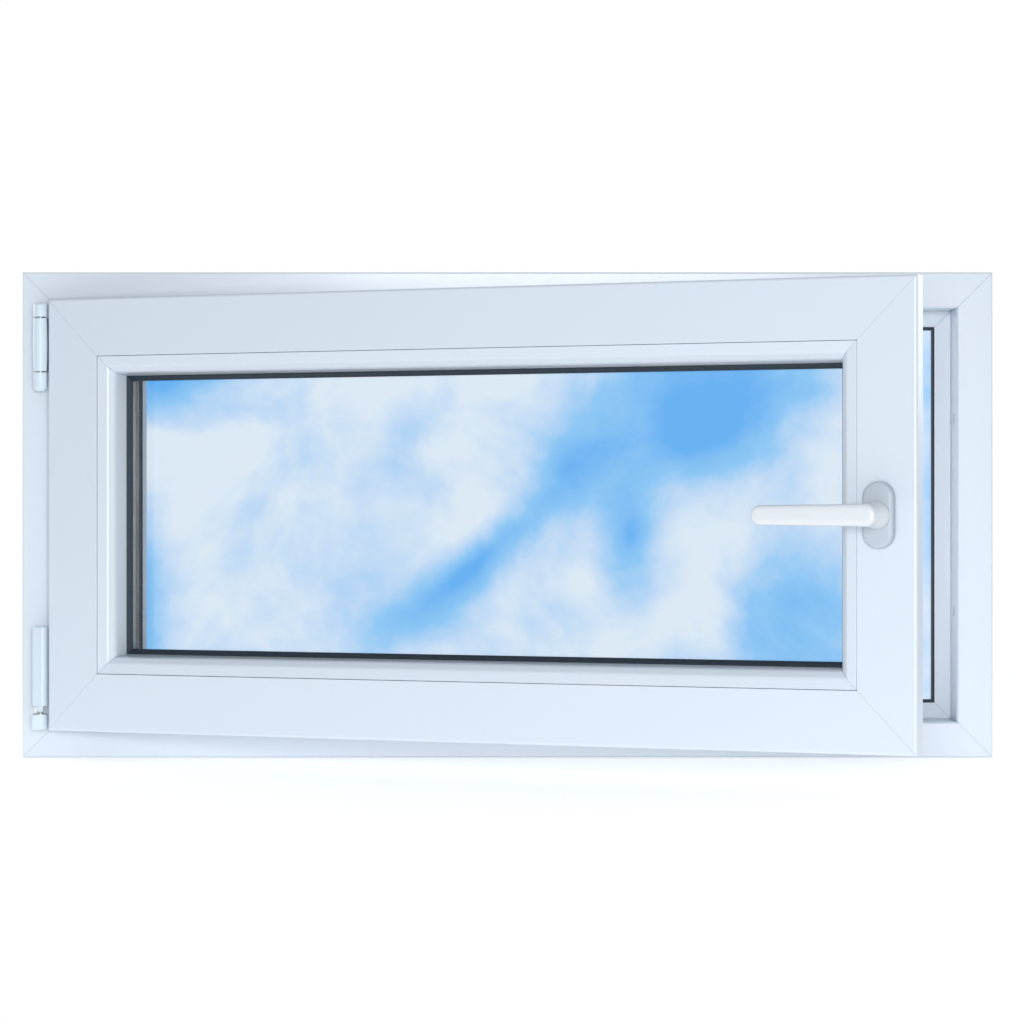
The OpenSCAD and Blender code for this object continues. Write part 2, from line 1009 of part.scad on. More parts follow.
module rosette_base() {
  color(cover_white)
    on_sash()
      at_pinion()
        difference() {
          along_y(ys(base_d[0], base_d[1])) oval(rosette_w - 3.4, rosette_h - 3.4);
          bar_y(collar_r + 0.1, ys(base_d[0] - 1, base_d[1] + 1));
          rosette_screw_set();
        }
}

module rosette_cover() {
  color(cover_white)
    on_sash()
      at_pinion()
        difference() {
          along_y(ys(cover_d[0], cover_d[1])) oval(rosette_w, rosette_h);
          along_y(ys(base_d[0] - 0.1, base_d[1] + 1)) oval(rosette_w - 3.2, rosette_h - 3.2);
          bar_y(collar_r + 0.3, ys(cover_d[0] - 1, cover_d[1]));
        }
}

module rosette_screw_set() {
  for (z = [-0.5, 0.5])
    translate([0, y_at(base_d[0]), z * screw_pitch])
      rotate([-90, 0, 0])
        screw(4.4, 2.5, case_d[1] - base_d[0] - 2);
}

module rosette_screws() {
  color(steel)
    on_sash()
      at_pinion()
        rosette_screw_set();
}

neck_r = 12.7;
lever_d = [sash_front - grip_front, sash_front - grip_front + grip_t];

// Side outline of the grip, from the neck to the rounded tip
module grip_outline() {
  tip_r = grip_tip_h / 2;
  tip_x = tip_r - grip_reach;
  translate([tip_x, 0]) circle(tip_r);
  polygon([
    [tip_x, -tip_r], [0, -grip_root_h / 2], [0, grip_root_h / 2], [tip_x, tip_r]
  ]);
  circle(grip_root_h / 2);
}

// Half outline of the neck: radius, and distance in front of the sash face
module neck_outline() {
  foot = rosette_t + gap;
  polygon([
    [0, 4], [collar_r, 4], [collar_r, foot], [neck_r, foot], [neck_r, foot + 3],
    [grip_root_h / 2 - 0.4, foot + 9], [grip_root_h / 2 - 0.4, grip_front - 1], [0, grip_front - 1]
  ]);
}

module handle_lever() {
  side = spindle_side / 2 + 0.05;
  color(handle_white)
    on_sash()
      at_pinion()
        difference() {
          union() {
            translate([0, y_at(sash_front), 0])
              rotate([90, 0, 0])
                rotate_extrude()
                  neck_outline();
            along_y(ys(lever_d[0], lever_d[1])) grip_outline();
          }
          box([-side, side], ys(sash_front - 34, sash_front), [-side, side]);
        }
}

module spindle() {
  color(steel)
    on_sash()
      at_pinion()
        box([-spindle_side / 2, spindle_side / 2], ys(sash_front - 33, case_d[1] - 1),
          [-spindle_side / 2, spindle_side / 2]);
}

// Unrolled angle of an involute at a radius, and the polar angle that it has there
base_r = pitch_r * cos(pressure_angle);
function unrolled(r) = sqrt(pow(max(r, base_r) / base_r, 2) - 1) * 180 / PI;
function flank(r) = unrolled(r) - atan(unrolled(r) * PI / 180);
function polar(r, a) = [r * cos(a), r * sin(a)];
function half_tooth(r) = (90 - tooth_play / pitch_r * 45 / PI) / pinion_teeth + flank(pitch_r) - flank(r);
tip_r = pitch_r + tooth_module - 0.05;
root_r = pitch_r - 1.25 * tooth_module;

module pinion_outline() {
  flank_r = [for (i = [0:4]) base_r + (tip_r - base_r) * i / 4];
  polygon([
    for (tooth = [0:pinion_teeth - 1])
      let (middle = tooth * 360 / pinion_teeth)
        each concat(
          [polar(root_r, middle - half_tooth(base_r))],
          [for (r = flank_r) polar(r, middle - half_tooth(r))],
          [for (i = [4:-1:0]) polar(flank_r[i], middle + half_tooth(flank_r[i]))],
          [polar(root_r, middle + half_tooth(base_r))]
        )
  ]);
}

module drive_pinion() {
  side = spindle_side / 2 + 0.03;
  color(steel)
    on_sash()
      at_pinion()
        difference() {
          union() {
            along_y(ys(pinion_d[0], pinion_d[1])) pinion_outline();
            bar_y(hub_r, ys(case_d[0] + 0.2, case_d[1] - 0.2));
          }
          box([-side, side], ys(case_d[0] - 1, case_d[1] + 1), [-side, side]);
        }
}

// ---- Rods ----

rack_count = 15;
rack_pitch = PI * tooth_module;
rack_root = pitch_r + 1.25 * tooth_module;
rod_face = pinion_setback - plate_t - 0.2;

rack_end = rack_count / 2 * rack_pitch + 2;

// Rod with its rack, seen from the room with the pinion's middle at the origin
module rack_rod_outline(rod_end) {
  slope = tan(pressure_angle);
  half = rack_pitch / 4 - tooth_play / 4;
  tip = [pitch_r - tooth_module + 0.05, half - slope * (tooth_module - 0.05)];
  root = [rack_root, half + slope * 1.25 * tooth_module];
  rod_back = rod_face - rod_t;
  polygon([
    [rod_face, -rod_end], [rod_back, -rod_end], [rod_back, -rack_end], [root[0], -rack_end],
    for (i = [0:rack_count])
      let (z = (i - rack_count / 2) * rack_pitch)
        each [[root[0], z - root[1]], [tip[0], z - tip[1]], [tip[0], z + tip[1]], [root[0], z + root[1]]],
    [root[0], rack_end], [rod_back, rack_end], [rod_back, rod_end], [rod_face, rod_end]
  ]);
}

module lock_rod() {
  color(steel)
    on_sash()
      at_pinion()
        along_y(ys(groove_mid - rod_half_w, groove_mid + rod_half_w))
          rack_rod_outline((gear_plate_z[1] - gear_plate_z[0]) / 2 - travel - 13);
}

// Rod behind a faceplate on the bottom rail
module rail_rod() {
  z0 = rebate_low + plate_t + 0.4;
  box(rod_x, ys(groove_mid - rod_half_w, groove_mid + rod_half_w), [z0, z0 + rod_t]);
}

// Roller cams on studs that stand on the bottom rod
module rail_cams() {
  stud_end = rebate_low + plate_t + 0.4;
  for (x = cam_x)
    translate([x, y_at(groove_mid), 0]) {
      upright(3, [rebate_low - cam_reach, stud_end]);
      upright_tube(cam_r, 3, [rebate_low - cam_reach, rebate_low - 0.4]);
    }
}

module bottom_rod() {
  color(steel)
    on_sash() rail_rod();
}

module top_rod() {
  color(steel)
    on_sash() on_top() rail_rod();
}

module bottom_cams() {
  color(steel)
    on_sash() rail_cams();
}

module top_cams() {
  color(steel)
    on_sash() on_top() rail_cams();
}

frame_sill();
frame_head();
frame_left_jamb();
frame_right_jamb();
frame_steel();
stop_gasket();
drain_caps();
stay_bearing();
stay_bearing_top_cap();
stay_bearing_foot_cap();
stay_hinge_pin();
corner_bearing();
corner_bearing_cover();
head_strikers();
sill_strikers();
frame_screws();
swivel_cup();
tilt_pin();
stay_arm();
stay_sleeve();
stay_guide_pin();
sash_bottom_rail();
sash_top_rail();
sash_hinge_stile();
sash_lock_stile();
sash_steel();
overlap_gasket();
bead_bottom();
bead_top();
bead_left();
bead_right();
inner_glazing_gasket();
outer_glazing_gasket();
inner_pane();
outer_pane();
glazing_spacer();
edge_seal();
glazing_blocks();
corner_hinge();
corner_hinge_pin();
corner_hinge_cover();
stay_guide();
gear_faceplate();
top_faceplate();
bottom_faceplate();
gearbox_case();
top_corner_drive();
bottom_corner_drive();
sash_screws();
rosette_base();
rosette_cover();
rosette_screws();
handle_lever();
spindle();
drive_pinion();
lock_rod();
top_rod();
bottom_rod();
top_cams();
bottom_cams();
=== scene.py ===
# %% [markdown]
# # A tilt and turn window, built in Blender round its working model
# The window is a white PVC frame with one glazed sash, hung on the left and swung into the room.
# The working model already holds every steel part, screw, pane and pivot in its right place. What it lacks is
# the look: rounded extrusion edges, welded corners, rubber lips, moulded covers and a cast lever.
# This lesson makes those as numpy surfaces, then gives every piece a procedural finish.

# %% Load the working model
import json
import math

import bmesh
import bpy
import numpy as np
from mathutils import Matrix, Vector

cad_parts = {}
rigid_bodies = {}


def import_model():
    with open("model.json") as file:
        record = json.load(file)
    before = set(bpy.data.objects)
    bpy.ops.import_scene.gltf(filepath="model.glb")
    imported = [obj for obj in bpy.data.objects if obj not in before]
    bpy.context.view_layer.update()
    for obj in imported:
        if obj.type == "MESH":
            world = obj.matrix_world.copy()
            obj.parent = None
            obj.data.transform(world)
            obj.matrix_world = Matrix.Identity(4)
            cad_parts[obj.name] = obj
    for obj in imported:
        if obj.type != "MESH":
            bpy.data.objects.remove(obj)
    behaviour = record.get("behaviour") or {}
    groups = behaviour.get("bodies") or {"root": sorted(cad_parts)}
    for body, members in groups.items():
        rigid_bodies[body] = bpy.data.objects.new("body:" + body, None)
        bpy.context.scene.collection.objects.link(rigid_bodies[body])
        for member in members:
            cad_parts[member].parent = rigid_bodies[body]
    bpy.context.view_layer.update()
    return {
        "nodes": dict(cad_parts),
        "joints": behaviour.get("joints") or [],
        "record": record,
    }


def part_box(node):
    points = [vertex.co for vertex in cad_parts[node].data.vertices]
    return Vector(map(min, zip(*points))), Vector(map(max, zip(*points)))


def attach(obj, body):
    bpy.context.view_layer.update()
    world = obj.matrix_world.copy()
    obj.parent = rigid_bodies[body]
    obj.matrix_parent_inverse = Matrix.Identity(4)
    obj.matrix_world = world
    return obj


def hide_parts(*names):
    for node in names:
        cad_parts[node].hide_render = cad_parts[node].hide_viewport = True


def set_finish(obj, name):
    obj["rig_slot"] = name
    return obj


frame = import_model()
nodes = frame["nodes"]

# %% [markdown]
# ## The measures everything else hangs on
# A window is a set of extrusions cut to length, so a handful of numbers drive it: the overall size, the
# widths of the profiles, and the hinge axis. Sizes are in millimetres, as on a workshop drawing, and become
# metres only when a mesh is made. Depths are counted from the frame's room face towards the outside.

# %% Read the overall sizes and the hinge axis from the model
MM = 0.001
sill_low, sill_high = (np.array(corner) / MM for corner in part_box("frame_sill"))
head_high = np.array(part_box("frame_head")[1]) / MM
WIDTH = sill_high[0] - sill_low[0]
HEIGHT = head_high[2] - sill_low[2]
ROOM_FACE = sill_low[1]
OUTSIDE_FACE = sill_high[1]
joints = {joint["name"]: joint for joint in frame["joints"]}
AXIS = np.array(joints["sash_turn"]["pos_m"][:2]) / MM
OPEN_ANGLE = -math.radians(joints["sash_turn"]["range_deg"][0])
FRAME_DEPTH = OUTSIDE_FACE - ROOM_FACE
print(f"frame {WIDTH:.0f} by {HEIGHT:.0f} by {FRAME_DEPTH:.0f} mm, open {math.degrees(OPEN_ANGLE):.0f} degrees")

# %% Profile measures
FRAME_FACE = 37          # width of the frame's room face
STOP_TIP = 57            # the outside stop reaches this far in
STOP_FRONT = 54          # depth of the stop's front
FLANGE_EDGE = 29         # the sash flange starts this far in from the frame's edge
SASH_FRONT = -19         # depth of the sash's room face
SASH_BACK = 51
FLANGE_BACK = -3
SASH_REBATE = 20         # measures across the sash are counted inwards from its flange tip
SASH_FACE = 59
BEAD_EDGE = 79
GLASS_FRONT = 11
GLASS_BACK = 35
LIP_FRONT = 38
SASH_W = WIDTH - 2 * FLANGE_EDGE
SASH_H = HEIGHT - 2 * FLANGE_EDGE
MID_Z = HEIGHT / 2
print(f"sash {SASH_W:.0f} by {SASH_H:.0f} mm")

# %% [markdown]
# ## From closed to open
# It is easiest to draw a sash closed, square to the frame, and then swing all of it. The swing is a plain
# rotation about the upright hinge axis, done on whole arrays of points, so each object can stay at the origin.

# %% Swing points about the hinge
def swung(points):
    """Turns points about the upright hinge axis: the offset from the axis is rotated clockwise, seen from
    above, by the opening angle, and heights stay."""
    x = points[..., 0] - AXIS[0]
    y = points[..., 1] - AXIS[1]
    cos, sin = math.cos(OPEN_ANGLE), math.sin(OPEN_ANGLE)
    turned = points.copy()
    turned[..., 0] = AXIS[0] + cos * x + sin * y
    turned[..., 1] = AXIS[1] - sin * x + cos * y
    return turned


print("hinge axis at", AXIS, "mm")

# %% [markdown]
# ## Turning arrays into pieces
# Every piece ends the same way: points in metres, faces that point outwards, smooth shading that breaks at
# sharp edges, a body to ride on, and the plain nodes that it stands for hidden. One helper does that.

# %% Make a piece from points and faces
made = []


def add_piece(name, points, faces, body, slot, stands_for=(), swing=False, crease=32):
    """Makes one closed mesh object from points in millimetres and lists of corner numbers."""
    if swing:
        points = swung(points)
    mesh = bpy.data.meshes.new(name)
    mesh.from_pydata(points * MM, [], faces)
    shape = bmesh.new()
    shape.from_mesh(mesh)
    bmesh.ops.remove_doubles(shape, verts=shape.verts, dist=2e-6)
    bmesh.ops.recalc_face_normals(shape, faces=shape.faces)
    shape.to_mesh(mesh)
    shape.free()
    mesh.shade_smooth()
    mesh.set_sharp_from_angle(angle=math.radians(crease))
    piece = bpy.data.objects.new(name, mesh)
    bpy.context.scene.collection.objects.link(piece)
    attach(piece, body)
    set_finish(piece, slot)
    if stands_for:
        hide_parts(*stands_for)
    made.append(piece)
    return piece


def ring_faces(rings, size, start=0):
    """Quads that join each ring of points to the next, and one face to close each end."""
    i, j = np.meshgrid(np.arange(rings - 1), np.arange(size), indexing="ij")
    after = (j + 1) % size
    quads = np.stack([i * size + j, i * size + after, (i + 1) * size + after, (i + 1) * size + j], axis=-1)
    ends = [list(range(size))[::-1], list(range((rings - 1) * size, rings * size))]
    return [[start + k for k in face] for face in quads.reshape(-1, 4).tolist() + ends]


print("piece helpers ready")

# %% [markdown]
# ## Rounded outlines
# An extruded PVC profile has no sharp corner: the die rounds each one by half a millimetre to three. An
# outline is listed as its corners with a radius for each, and every corner is swapped for an arc that
# touches both sides. Two extra points just outside the arc keep the flat faces flat when shading is smooth.

# %% Round the corners of an outline
def rounded(corners, steps=5, margin=0.35):
    """Each corner is (a, b, radius). The arc's centre lies on the corner's bisector, radius / sin(half angle)
    away, and the arc meets the sides radius / tan(half angle) from the corner. On a short side the extra
    points move closer to their arcs, so that they never pass each other."""
    data = np.array(corners, float)
    corner, radius = data[:, :2], np.maximum(data[:, 2:], 0.04)
    back = np.roll(corner, 1, axis=0) - corner
    ahead = np.roll(corner, -1, axis=0) - corner
    side = np.linalg.norm(ahead, axis=1, keepdims=True)
    back /= np.linalg.norm(back, axis=1, keepdims=True)
    ahead /= side
    half = np.arccos(np.clip((back * ahead).sum(axis=1, keepdims=True), -1, 1)) / 2
    reach = radius / np.tan(half)
    middle = back + ahead
    centre = corner + middle / np.linalg.norm(middle, axis=1, keepdims=True) * radius / np.sin(half)
    spread = np.pi - 2 * half
    first, last = corner + back * reach - centre, corner + ahead * reach - centre
    share = np.linspace(0, 1, steps + 1)[None, :, None]
    arc = (np.sin((1 - share) * spread[:, None]) * first[:, None] + np.sin(share * spread[:, None])
           * last[:, None]) / np.sin(spread[:, None]) + centre[:, None]
    room = np.clip((side - reach - np.roll(reach, -1, axis=0)) * 0.45, 0, margin)
    before = corner + back * (reach + np.roll(room, 1, axis=0))
    after = corner + ahead * (reach + room)
    return np.concatenate([before[:, None], arc, after[:, None]], axis=1).reshape(-1, 2)


def drawn_in(outline, distance):
    """Moves each point of a closed outline inwards along the average normal of its two sides."""
    ahead = np.roll(outline, -1, axis=0) - outline
    back = outline - np.roll(outline, 1, axis=0)
    normal = np.stack([-(ahead + back)[:, 1], (ahead + back)[:, 0]], axis=1)
    normal /= np.linalg.norm(normal, axis=1, keepdims=True)
    x, y = outline.T
    turning = np.sign(np.sum(x * np.roll(y, -1) - np.roll(x, -1) * y))
    return outline + normal * turning * distance


print("a rounded square has", len(rounded([(0, 0, 1), (9, 0, 1), (9, 9, 1), (0, 9, 1)])), "points")

# %% [markdown]
# ## Mitred and welded members
# Frame and sash are four lengths of profile, cut at 45 degrees and welded. Carrying one outline along one
# side does it: a point that lies s inwards starts s later and ends s sooner, which is the mitre. Welded
# corners are cleaned with a knife that leaves a fine groove, so the last half millimetre is drawn in a little.

# %% Carry an outline along one side of a rectangle
WELD_WIDTH = 0.45
WELD_DEPTH = 0.4


def mitred_points(outline, side, width, height, groove=WELD_DEPTH):
    """The outline holds depth and distance inwards. Side 0 is the bottom, 1 right, 2 top and 3 left, each
    a quarter turn about the middle of the rectangle. Four rings: weld, full, full, weld."""
    length, across = (width, height) if side % 2 == 0 else (height, width)
    narrow = drawn_in(outline, groove)
    rings = []
    stations = ((-1, 0, narrow), (-1, WELD_WIDTH, outline), (1, WELD_WIDTH, outline), (1, 0, narrow))
    for end, trim, section in stations:
        along = end * (length / 2 - section[:, 1] - trim)
        rings.append(np.stack([along, section[:, 0] + ROOM_FACE, section[:, 1] - across / 2], axis=1))
    local = np.concatenate(rings)
    turn = -side * math.pi / 2
    x = local[:, 0] * math.cos(turn) + local[:, 2] * math.sin(turn)
    z = -local[:, 0] * math.sin(turn) + local[:, 2] * math.cos(turn)
    return np.stack([x, local[:, 1], z + MID_Z], axis=1)


def mitred_member(name, outline, side, width, height, body, slot, swing, stands_for):
    points = mitred_points(outline, side, width, height)
    return add_piece(name, points, ring_faces(4, len(outline)), body, slot, stands_for, swing)


def mitred_ring(name, outline, width, height, body, slot, swing, stands_for):
    """All four sides as one piece, with closed mitres, as a gasket is laid."""
    points = [mitred_points(outline, side, width, height, groove=0.05) for side in range(4)]
    count = 4 * len(outline)
    faces = [face for side in range(4) for face in ring_faces(4, len(outline), start=side * count)]
    return add_piece(name, np.concatenate(points), faces, body, slot, stands_for, swing)


print("mitre helpers ready")

# %% [markdown]
# ## The outer frame
# The frame's section is an L: a deep body with a flat room face, and a stop on the outside that the sash
# closes against. Its room-side inner edge is the one people see, and it has a soft 2 mm round.

# %% Frame members
frame_outline = rounded([
    (0, 0, 1.2), (FRAME_DEPTH, 0, 1.2), (FRAME_DEPTH, STOP_TIP, 3), (STOP_FRONT + 0.4, STOP_TIP, 1),
    (STOP_FRONT, STOP_TIP - 4, 0.3), (STOP_FRONT, FRAME_FACE, 0.8), (2.5, FRAME_FACE, 0.8),
    (1.8, FRAME_FACE - 0.4, 0.4), (0, FRAME_FACE - 2, 1.2)
])
for side, part in enumerate(["sill", "right_jamb", "head", "left_jamb"]):
    mitred_member("frame_profile_" + part, frame_outline, side, WIDTH, HEIGHT, "frame", "pvc_white", False,
                  ["frame_" + part])
print("frame section has", len(frame_outline), "points")

# %% [markdown]
# Each jamb is drilled for two frame anchors. A Boolean cuts the round holes cleanly through the swept
# profile, and is applied at once so that the finished mesh carries them.

# %% Drill the fixing holes in the jambs
FIXING_RADIUS = 5.1
FIXING_DEPTH = 27
FIXING_SPACING = 200
FIXING_HEIGHTS = (MID_Z - FIXING_SPACING / 2, MID_Z + FIXING_SPACING / 2)
DRILL_PAST = 3           # the drill runs this far beyond both faces


def round_bar(start, axis, radius, length, steps=40):
    """Points and faces of a closed round bar: a circle square to the axis, at both ends."""
    angle = np.linspace(0, 2 * np.pi, steps, endpoint=False)
    circle = np.stack([np.cos(angle), np.sin(angle)], axis=1) * radius
    across = [k for k in range(3) if k != axis]
    points = np.zeros((2, steps, 3)) + np.array(start, float)
    points[:, :, across] += circle[None]
    points[1, :, axis] += length
    return points.reshape(-1, 3), ring_faces(2, steps)


def triangulate_caps(piece):
    """Divides the many-sided end faces into triangles, so that a concave outline is filled only inside."""
    shape = bmesh.new()
    shape.from_mesh(piece.data)
    bmesh.ops.triangulate(shape, faces=[face for face in shape.faces if len(face.verts) > 4],
                          ngon_method="EAR_CLIP")
    shape.to_mesh(piece.data)
    shape.free()


def cut_away(piece, points, faces):
    """Subtracts a closed shape, given in millimetres, from a piece."""
    mesh = bpy.data.meshes.new("cutter")
    mesh.from_pydata(points * MM, [], faces)
    cutter = bpy.data.objects.new("cutter", mesh)
    bpy.context.scene.collection.objects.link(cutter)
    fix = bmesh.new()
    fix.from_mesh(mesh)
    bmesh.ops.recalc_face_normals(fix, faces=fix.faces)
    fix.to_mesh(mesh)
    fix.free()
    step = piece.modifiers.new("cut", "BOOLEAN")
    step.object = cutter
    step.solver = "EXACT"
    with bpy.context.temp_override(object=piece, active_object=piece, selected_objects=[piece]):
        bpy.ops.object.modifier_apply(modifier="cut")
    bpy.data.objects.remove(cutter)
    piece.data.set_sharp_from_angle(angle=math.radians(32))


for sign, part in ((-1, "left_jamb"), (1, "right_jamb")):
    jamb = bpy.data.objects["frame_profile_" + part]
    triangulate_caps(jamb)
    left_end = WIDTH / 2 - FRAME_FACE if sign > 0 else -WIDTH / 2
    for height in FIXING_HEIGHTS:
        start = (left_end - DRILL_PAST, ROOM_FACE + FIXING_DEPTH, height)
        cut_away(jamb, *round_bar(start, 0, FIXING_RADIUS, FRAME_FACE + 2 * DRILL_PAST))
print("four fixing holes cut")

# %% [markdown]
# ## Sash members and glazing beads
# The sash section has a flange that laps over the frame, a body with the hardware groove on its outer edge,
# and a thin lip outside the glass. The bead is a separate clip-in strip: a flat band beside the sash face,
# then a quarter round that dives to the glass. A hair-wide step where the two meet makes the long thin line.

# %% Sash members
GROOVE_NEAR, GROOVE_FAR = 2, 18
sash_outline = rounded([
    (SASH_FRONT, 0, 2.6), (FLANGE_BACK, 0, 0.8), (FLANGE_BACK, SASH_REBATE, 0.6),
    (GROOVE_NEAR, SASH_REBATE, 0.2), (GROOVE_NEAR, SASH_REBATE + 2, 0.2), (4, SASH_REBATE + 2, 0.2),
    (4, SASH_REBATE + 13, 0.4), (16, SASH_REBATE + 13, 0.4), (16, SASH_REBATE + 2, 0.2),
    (GROOVE_FAR, SASH_REBATE + 2, 0.2), (GROOVE_FAR, SASH_REBATE, 0.2), (SASH_BACK, SASH_REBATE, 1),
    (SASH_BACK, BEAD_EDGE, 3), (LIP_FRONT, BEAD_EDGE, 0.8), (LIP_FRONT, SASH_FACE, 0.4),
    (SASH_FRONT, SASH_FACE, 0.5)
], steps=4, margin=0.2)
sash_parts = ["bottom_rail", "lock_stile", "top_rail", "hinge_stile"]
for side, part in enumerate(sash_parts):
    mitred_member("sash_profile_" + part, sash_outline, side, SASH_W, SASH_H, "sash", "pvc_white", True,
                  ["sash_" + part])
print("sash section has", len(sash_outline), "points")

# %% Glazing beads
BEAD_FOOT = GLASS_FRONT - 3.2
bead_outline = rounded([
    (SASH_FRONT + 0.5, SASH_FACE + 0.35, 0.5), (SASH_FRONT + 2.5, SASH_FACE + 11, 6),
    (SASH_FRONT + 9, BEAD_EDGE - 2.2, 7), (BEAD_FOOT, BEAD_EDGE, 0.6), (BEAD_FOOT, SASH_FACE + 0.35, 0.4)
], steps=7)
for side, part in enumerate(["bottom", "right", "top", "left"]):
    mitred_member("bead_strip_" + part, bead_outline, side, SASH_W, SASH_H, "sash", "pvc_white", True,
                  ["bead_" + part])
print("bead section has", len(bead_outline), "points")

# %% [markdown]
# ## Rubber gaskets
# Four black seals: one on the outside stop, one behind the sash flange, and one on each side of the glass.
# Each is a foot hidden in its groove with a soft lip that shows as a dark line. They are rings with closed
# corners, except the flange seal, which is cut out where the hinges pass through the gap.

# %% Gaskets
stop_lip = rounded([
    (STOP_FRONT, STOP_TIP - 3.2, 0.2), (SASH_BACK + 0.4, STOP_TIP - 1.8, 0.9),
    (SASH_BACK + 0.4, STOP_TIP + 0.3, 0.9), (STOP_FRONT + 2.2, STOP_TIP + 0.4, 0.9),
    (STOP_FRONT + 2.6, STOP_TIP - 3.2, 0.3)
])
mitred_ring("stop_seal", stop_lip, WIDTH, HEIGHT, "frame", "rubber_black", False, ["stop_gasket"])

INNER_SIGHT = 5.2        # how far each glass seal shows past the bead or the outside lip
inner_lip = rounded([
    (GLASS_FRONT, BEAD_EDGE - 5, 0.2), (GLASS_FRONT, BEAD_EDGE + INNER_SIGHT, 0.3),
    (GLASS_FRONT - 1.2, BEAD_EDGE + INNER_SIGHT, 0.6), (GLASS_FRONT - 5, BEAD_EDGE + 1.2, 1.2),
    (GLASS_FRONT - 4.2, BEAD_EDGE - 0.3, 0.5), (GLASS_FRONT - 3, BEAD_EDGE - 5, 0.2)
])
mitred_ring("inner_glass_seal", inner_lip, SASH_W, SASH_H, "sash", "rubber_black", True,
            ["inner_glazing_gasket"])

OUTER_SIGHT = 3
outer_lip = rounded([
    (GLASS_BACK, BEAD_EDGE - 0.8, 0.2), (LIP_FRONT, BEAD_EDGE - 1.5, 0.2),
    (LIP_FRONT + 0.6, BEAD_EDGE + 0.3, 0.4),
    (LIP_FRONT + 1.6, BEAD_EDGE + 1.2, 0.7), (GLASS_BACK + 1.4, BEAD_EDGE + OUTER_SIGHT, 0.6),
    (GLASS_BACK, BEAD_EDGE + OUTER_SIGHT, 0.3)
])
mitred_ring("outer_glass_seal", outer_lip, SASH_W, SASH_H, "sash", "rubber_black", True,
            ["outer_glazing_gasket"])
print("three ring seals made")

# %% Flange seal, in straight lengths
FLANGE_SEAL_NEAR, FLANGE_SEAL_FAR = 5, 8
TOP_HINGE_GAP = (HEIGHT - 104, HEIGHT - 47)
BOTTOM_HINGE_GAP = (53, 137)
flange_lip = rounded([
    (FLANGE_BACK - 0.2, FLANGE_SEAL_NEAR, 0.1), (-0.6, FLANGE_SEAL_NEAR + 0.5, 0.7),
    (-0.6, FLANGE_SEAL_FAR - 0.5, 0.7), (FLANGE_BACK - 0.2, FLANGE_SEAL_FAR, 0.1)
])


def seal_lengths():
    """Three whole sides, and the hinge side as the stretches that the two hinges leave."""
    for side in range(3):
        yield mitred_points(flange_lip, side, SASH_W, SASH_H, groove=0.05)
    whole = mitred_points(flange_lip, 3, SASH_W, SASH_H, groove=0.05).reshape(4, -1, 3)
    gaps = [TOP_HINGE_GAP, BOTTOM_HINGE_GAP]
    limits = [SASH_H + FLANGE_EDGE] + [z for gap in sorted(gaps, reverse=True) for z in sorted(gap, reverse=True)]
    limits.append(FLANGE_EDGE)
    for high, low in zip(limits[::2], limits[1::2]):
        stretch = whole.copy()
        stretch[..., 2] = np.clip(stretch[..., 2], low, high)
        yield stretch.reshape(-1, 3)


lengths = list(seal_lengths())
seal_faces = [face for k, part in enumerate(lengths)
              for face in ring_faces(4, len(flange_lip), start=k * len(lengths[0]))]
add_piece("flange_seal", np.concatenate(lengths), seal_faces, "sash", "rubber_black", ["overlap_gasket"], True)
print("flange seal in", len(lengths), "lengths")

# %% [markdown]
# ## Moulded covers
# The caps, covers and the handle's rosette are injection moulded: an outline that rises straight and is
# then drawn in over a rounded edge. Stacking one outline at several heights, each drawn in by its own
# amount, gives all of them. Round covers use a circle as their outline, and bulge where the inset is negative.

# %% Stack an outline into a moulded cover
def stacked(outline, stations):
    """Rings of an outline, one for each (height, inset). Returns points as outline a, outline b, height."""
    rings = [np.column_stack([drawn_in(outline, inset), np.full(len(outline), height)])
             for height, inset in stations]
    return np.concatenate(rings), ring_faces(len(stations), len(outline))


def edge_round(height, radius, way=1, steps=5):
    """Stations of a quarter round that ends at a height: the inset grows as 1 - cos and the height as sin."""
    angle = np.linspace(0, np.pi / 2, steps + 1)
    return [(height - way * radius * (1 - math.sin(a)), radius * (1 - math.cos(a))) for a in angle]


def circle_outline(radius, steps=48):
    angle = np.linspace(0, 2 * np.pi, steps, endpoint=False)
    return np.stack([np.cos(angle), np.sin(angle)], axis=1) * radius


def upright_cover(name, outline, stations, body, slot, stands_for, swing):
    """A cover whose outline is counted from the hinge axis and whose heights are real heights."""
    points, faces = stacked(outline, stations)
    points[:, :2] += AXIS
    return add_piece(name, points, faces, body, slot, stands_for, swing)


print("a 2 mm edge round:", [tuple(round(v, 2) for v in s) for s in edge_round(10, 2)][:3])

# %% Covers of the top hinge
BARREL = circle_outline(7.5)
SLEEVE_LOW, SLEEVE_HIGH = HEIGHT - 102.7, HEIGHT - 48.3
TOP_CAP_LOW, TOP_CAP_HIGH = HEIGHT - 47, HEIGHT - 32.6
FOOT_LOW, FOOT_HIGH = HEIGHT - 123, HEIGHT - 104

